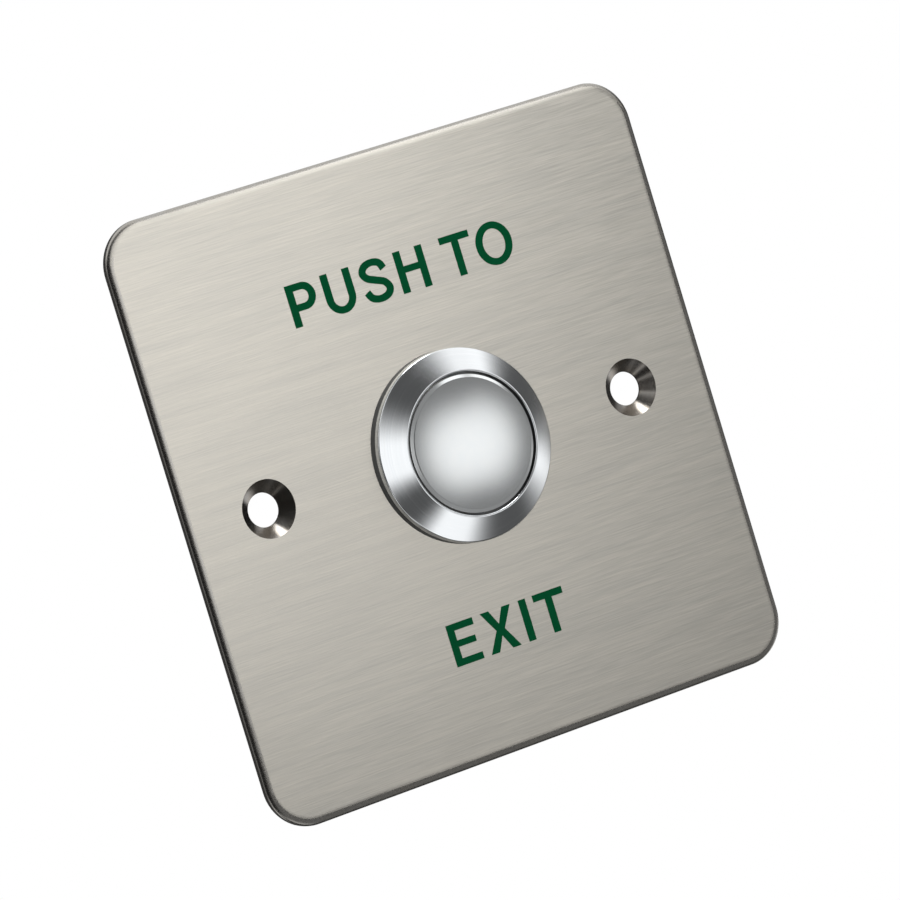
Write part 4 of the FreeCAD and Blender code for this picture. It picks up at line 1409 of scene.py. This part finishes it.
@dataclass
class Studio:
    """A white room with soft panels and dark flags, a pale floor, two cards and the lamps."""

    surround: float = 1.12
    diffuse_level: float = 0.55
    floor_depth: float = -0.35
    floor_size: float = 2.4
    floor_lift: float = 0.4
    room_lamp: Lamp = Lamp("soft_lamp", (-0.3, -0.6, 0.5), 0.4, 2.6)
    plate_lamps: tuple[Lamp, ...] = (Lamp("plate_lamp", (0.024, -0.2, 0.05), 0.2, 0.19),
                                     Lamp("upper_lamp", (0.09, -0.13, 0.13), 0.08, 0.05))
    side_card: tuple[Span, Span, Span] = ((-130, -54), (-34, -34), (-80, 80))
    top_card: tuple[Span, Span, Span] = ((-60, 52), (-8, 4), (52, 52))
    top_card_level: float = 1.25
    panels: tuple[Panel, ...] = (
        Panel((-0.95, 0.3, -0.055), 20, 32, 0.4),
        Panel((-0.3, 0.95, -0.055), 38, 60, 0.08),
        Panel((0.75, 0.65, -0.05), 14, 26, 0.06),
        Panel((0.981, 0.062, 0.180), 2, 29, 0.085),
        Panel((0.90, 0.43, -0.05), 8, 20, 0.05),
        Panel((0.97, -0.22, -0.055), 6, 14, 0.1),
        Panel((-0.09, -0.61, 0.787), 4, 46, 0.085),
        Panel((-0.46, -0.70, -0.54), 3, 26, 0.09),
        Panel((0.640, -0.155, -0.752), 3, 34, 0.085),
        Panel((0.15, 0.25, -0.95), 20, 38, 0.03),
        Panel((-0.3, -0.1, -0.95), 12, 22, 0.04),
        Panel((-0.72, -0.35, -0.6), 10, 18, 0.04),
        Panel((-0.93, -0.36, -0.055), 10, 24, 0.05),
        Panel((-0.86, -0.38, 0.33), 10, 17, 0.05),
        Panel((0.478, -0.569, -0.652), 6, 16, 0.12),
        Panel((0.478, -0.877, -0.055), 53, 60, 0.27),
        Panel((-0.05, -1.0, 0.035), 8, 18, 0.04),
        Panel((0.16, -0.14, 0.977), 9, 15, 7.6),
        Panel((0.478, -0.58, 0.66), 6, 14, 1.25),
        Panel((0.80, -0.36, 0.47), 7, 15, 1.2),
        Panel((0.478, -0.877, -0.055), 12, 33, 0.18),
        Panel((0.530, -0.846, -0.06), 2, 12, 1.07),
        Panel((0.400, -0.915, -0.06), 2, 12, 1.09),
    )

    def build(self) -> None:
        """Make the room, the floor, two cards and the lamp."""
        self._world()
        self._floor()
        self._card("dark_card", self.side_card, 0.0)
        self._card("white_card", self.top_card, self.top_card_level)
        self.room_lamp.hang().visible_glossy = False

    def light_plate(self, receivers: Sequence[Piece]) -> None:
        """Hang the lamps that brighten the flat plate alone, towards its upper left.

        Args:
            receivers: The pieces that they light.
        """
        lit = bpy.data.collections.new("lit_by_plate_lamps")
        for piece in receivers:
            lit.objects.link(piece)
        for plan in self.plate_lamps:
            lamp = plan.hang()
            lamp.data.use_shadow = False
            lamp.light_linking.receiver_collection = lit

    def _world(self) -> None:
        """Set the room: white where it is looked at, panels where metal mirrors it."""
        world = bpy.data.worlds.new("white_room")
        bpy.context.scene.world = world
        world.use_nodes = True
        sheet = NodeSheet(world.node_tree)
        direction = sheet.add("ShaderNodeTexCoord").outputs["Generated"]
        level: object = self.surround
        for panel in self.panels:
            patch = sheet.add("ShaderNodeGroup", node_tree=Effects.panel(), Direction=direction,
                              Towards=Vector(panel.towards).normalized()[:],
                              Inner=math.cos(math.radians(panel.inner)),
                              Outer=math.cos(math.radians(panel.outer)),
                              Level=panel.level, Before=level)
            level = patch.outputs["Level"]
        seen, mirrored, spread = (
            sheet.add("ShaderNodeBackground", Color=WHITE, Strength=strength).outputs[0]
            for strength in (1.0, level, self.diffuse_level))
        rays = sheet.add("ShaderNodeLightPath").outputs
        plain = sheet.math("MAXIMUM", rays["Is Camera Ray"], rays["Is Transmission Ray"])
        first = sheet.combined("ShaderNodeMixShader", (rays["Is Glossy Ray"], spread, mirrored))
        last = sheet.combined("ShaderNodeMixShader", (plain, first, seen))
        sheet.add("ShaderNodeOutputWorld", Surface=last)

    @staticmethod
    def _paint(piece: Piece, name: str, grey: float, level: float, seen_only: bool = False) -> None:
        """Give a piece of the room a matte paint that glows.

        Args:
            piece: The mesh.
            name: The paint's name.
            grey: Its tone.
            level: How brightly it glows.
            seen_only: Whether it glows only where the camera looks at it.
        """
        material = bpy.data.materials.new(name)
        material.use_nodes = True
        sheet = NodeSheet(material.node_tree)
        glow: object = level
        if seen_only:
            rays = sheet.add("ShaderNodeLightPath")
            glow = sheet.math("MULTIPLY", rays.outputs["Is Camera Ray"], level)
        surface = sheet.add("ShaderNodeBsdfPrincipled", Base_Color=(grey, grey, grey, 1),
                            Roughness=0.9, Emission_Color=WHITE, Emission_Strength=glow)
        sheet.add("ShaderNodeOutputMaterial", Surface=surface.outputs["BSDF"])
        piece.data.materials.append(material)

    def _floor(self) -> None:
        """Lay a plain pale floor well below the object."""
        Workbench.clear_selection()
        bpy.ops.mesh.primitive_plane_add(size=self.floor_size, location=(0, 0, self.floor_depth))
        floor = Workbench.named("studio_floor")
        floor.visible_glossy = False
        self._paint(floor, "pale_floor", 0.92, self.floor_lift, seen_only=True)

    @staticmethod
    def _card(name: str, spans: Sequence[Span], level: float) -> None:
        """Stand a flat card near the plate, which only polished edges mirror.

        Args:
            name: The card's name.
            spans: Its reach in X, Y and Z in millimetres, one of them of no width.
            level: Its brightness, 0 for a dark card.
        """
        card = Workbench.block(name, [span[0] * MM - HOLD for span in spans],
                               [span[1] * MM + HOLD for span in spans])
        card.visible_camera = card.visible_diffuse = False
        card.visible_shadow = card.visible_transmission = False
        Studio._paint(card, name, 0.02, level)


@dataclass
class PhotoCamera:
    """The camera at the photograph's viewing angle."""

    heading: float = 28.59
    pitch: float = 3.13
    roll: float = -16.883
    distance: float = 807.6 * MM
    across: float = 0.5 * MM
    upward: float = -0.235 * MM
    focal_pixels: float = 5807.7
    frame_pixels: float = 900.0
    sensor: float = 36.0

    def build(self) -> None:
        """Place the camera and make it the scene's own."""
        heading, pitch, roll = (math.radians(a) for a in (self.heading, self.pitch, self.roll))
        ahead = Vector((math.sin(heading) * math.cos(pitch), math.cos(heading) * math.cos(pitch),
                        -math.sin(pitch)))
        level = Vector((math.cos(heading), -math.sin(heading), 0))
        upright = level.cross(ahead)
        right = level * math.cos(roll) + upright * math.sin(roll)
        up = upright * math.cos(roll) - level * math.sin(roll)
        data = bpy.data.cameras.new("photo_camera")
        data.sensor_width = self.sensor
        data.sensor_fit = "HORIZONTAL"
        data.lens = self.focal_pixels * self.sensor / self.frame_pixels
        data.clip_start = 0.01
        data.clip_end = 20
        camera = bpy.data.objects.new("photo_camera", data)
        place = right * self.across + up * self.upward - ahead * self.distance
        turn = Matrix((right, up, -ahead)).transposed().to_4x4()
        camera.matrix_world = Matrix.Translation(place) @ turn
        bpy.context.scene.collection.objects.link(camera)
        bpy.context.scene.camera = camera


def main() -> None:
    """Build the scene: camera and studio first, then each sub-assembly from front to back."""
    logging.basicConfig(level=logging.INFO, format="%(name)s: %(message)s")
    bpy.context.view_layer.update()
    bpy.context.scene.view_settings.view_transform = "Standard"
    studio = Studio()
    for assembly in (PhotoCamera(), studio, WallPlate(), Printing(), BezelAndBarrel(), PushButton(),
                     SwitchBase()):
        log.info("building %s", type(assembly).__name__)
        assembly.build()
    studio.light_plate([bpy.data.objects[name] for name in LIT_PIECES])
    Workbench.clear_selection()


if __name__ == "__main__":
    main()
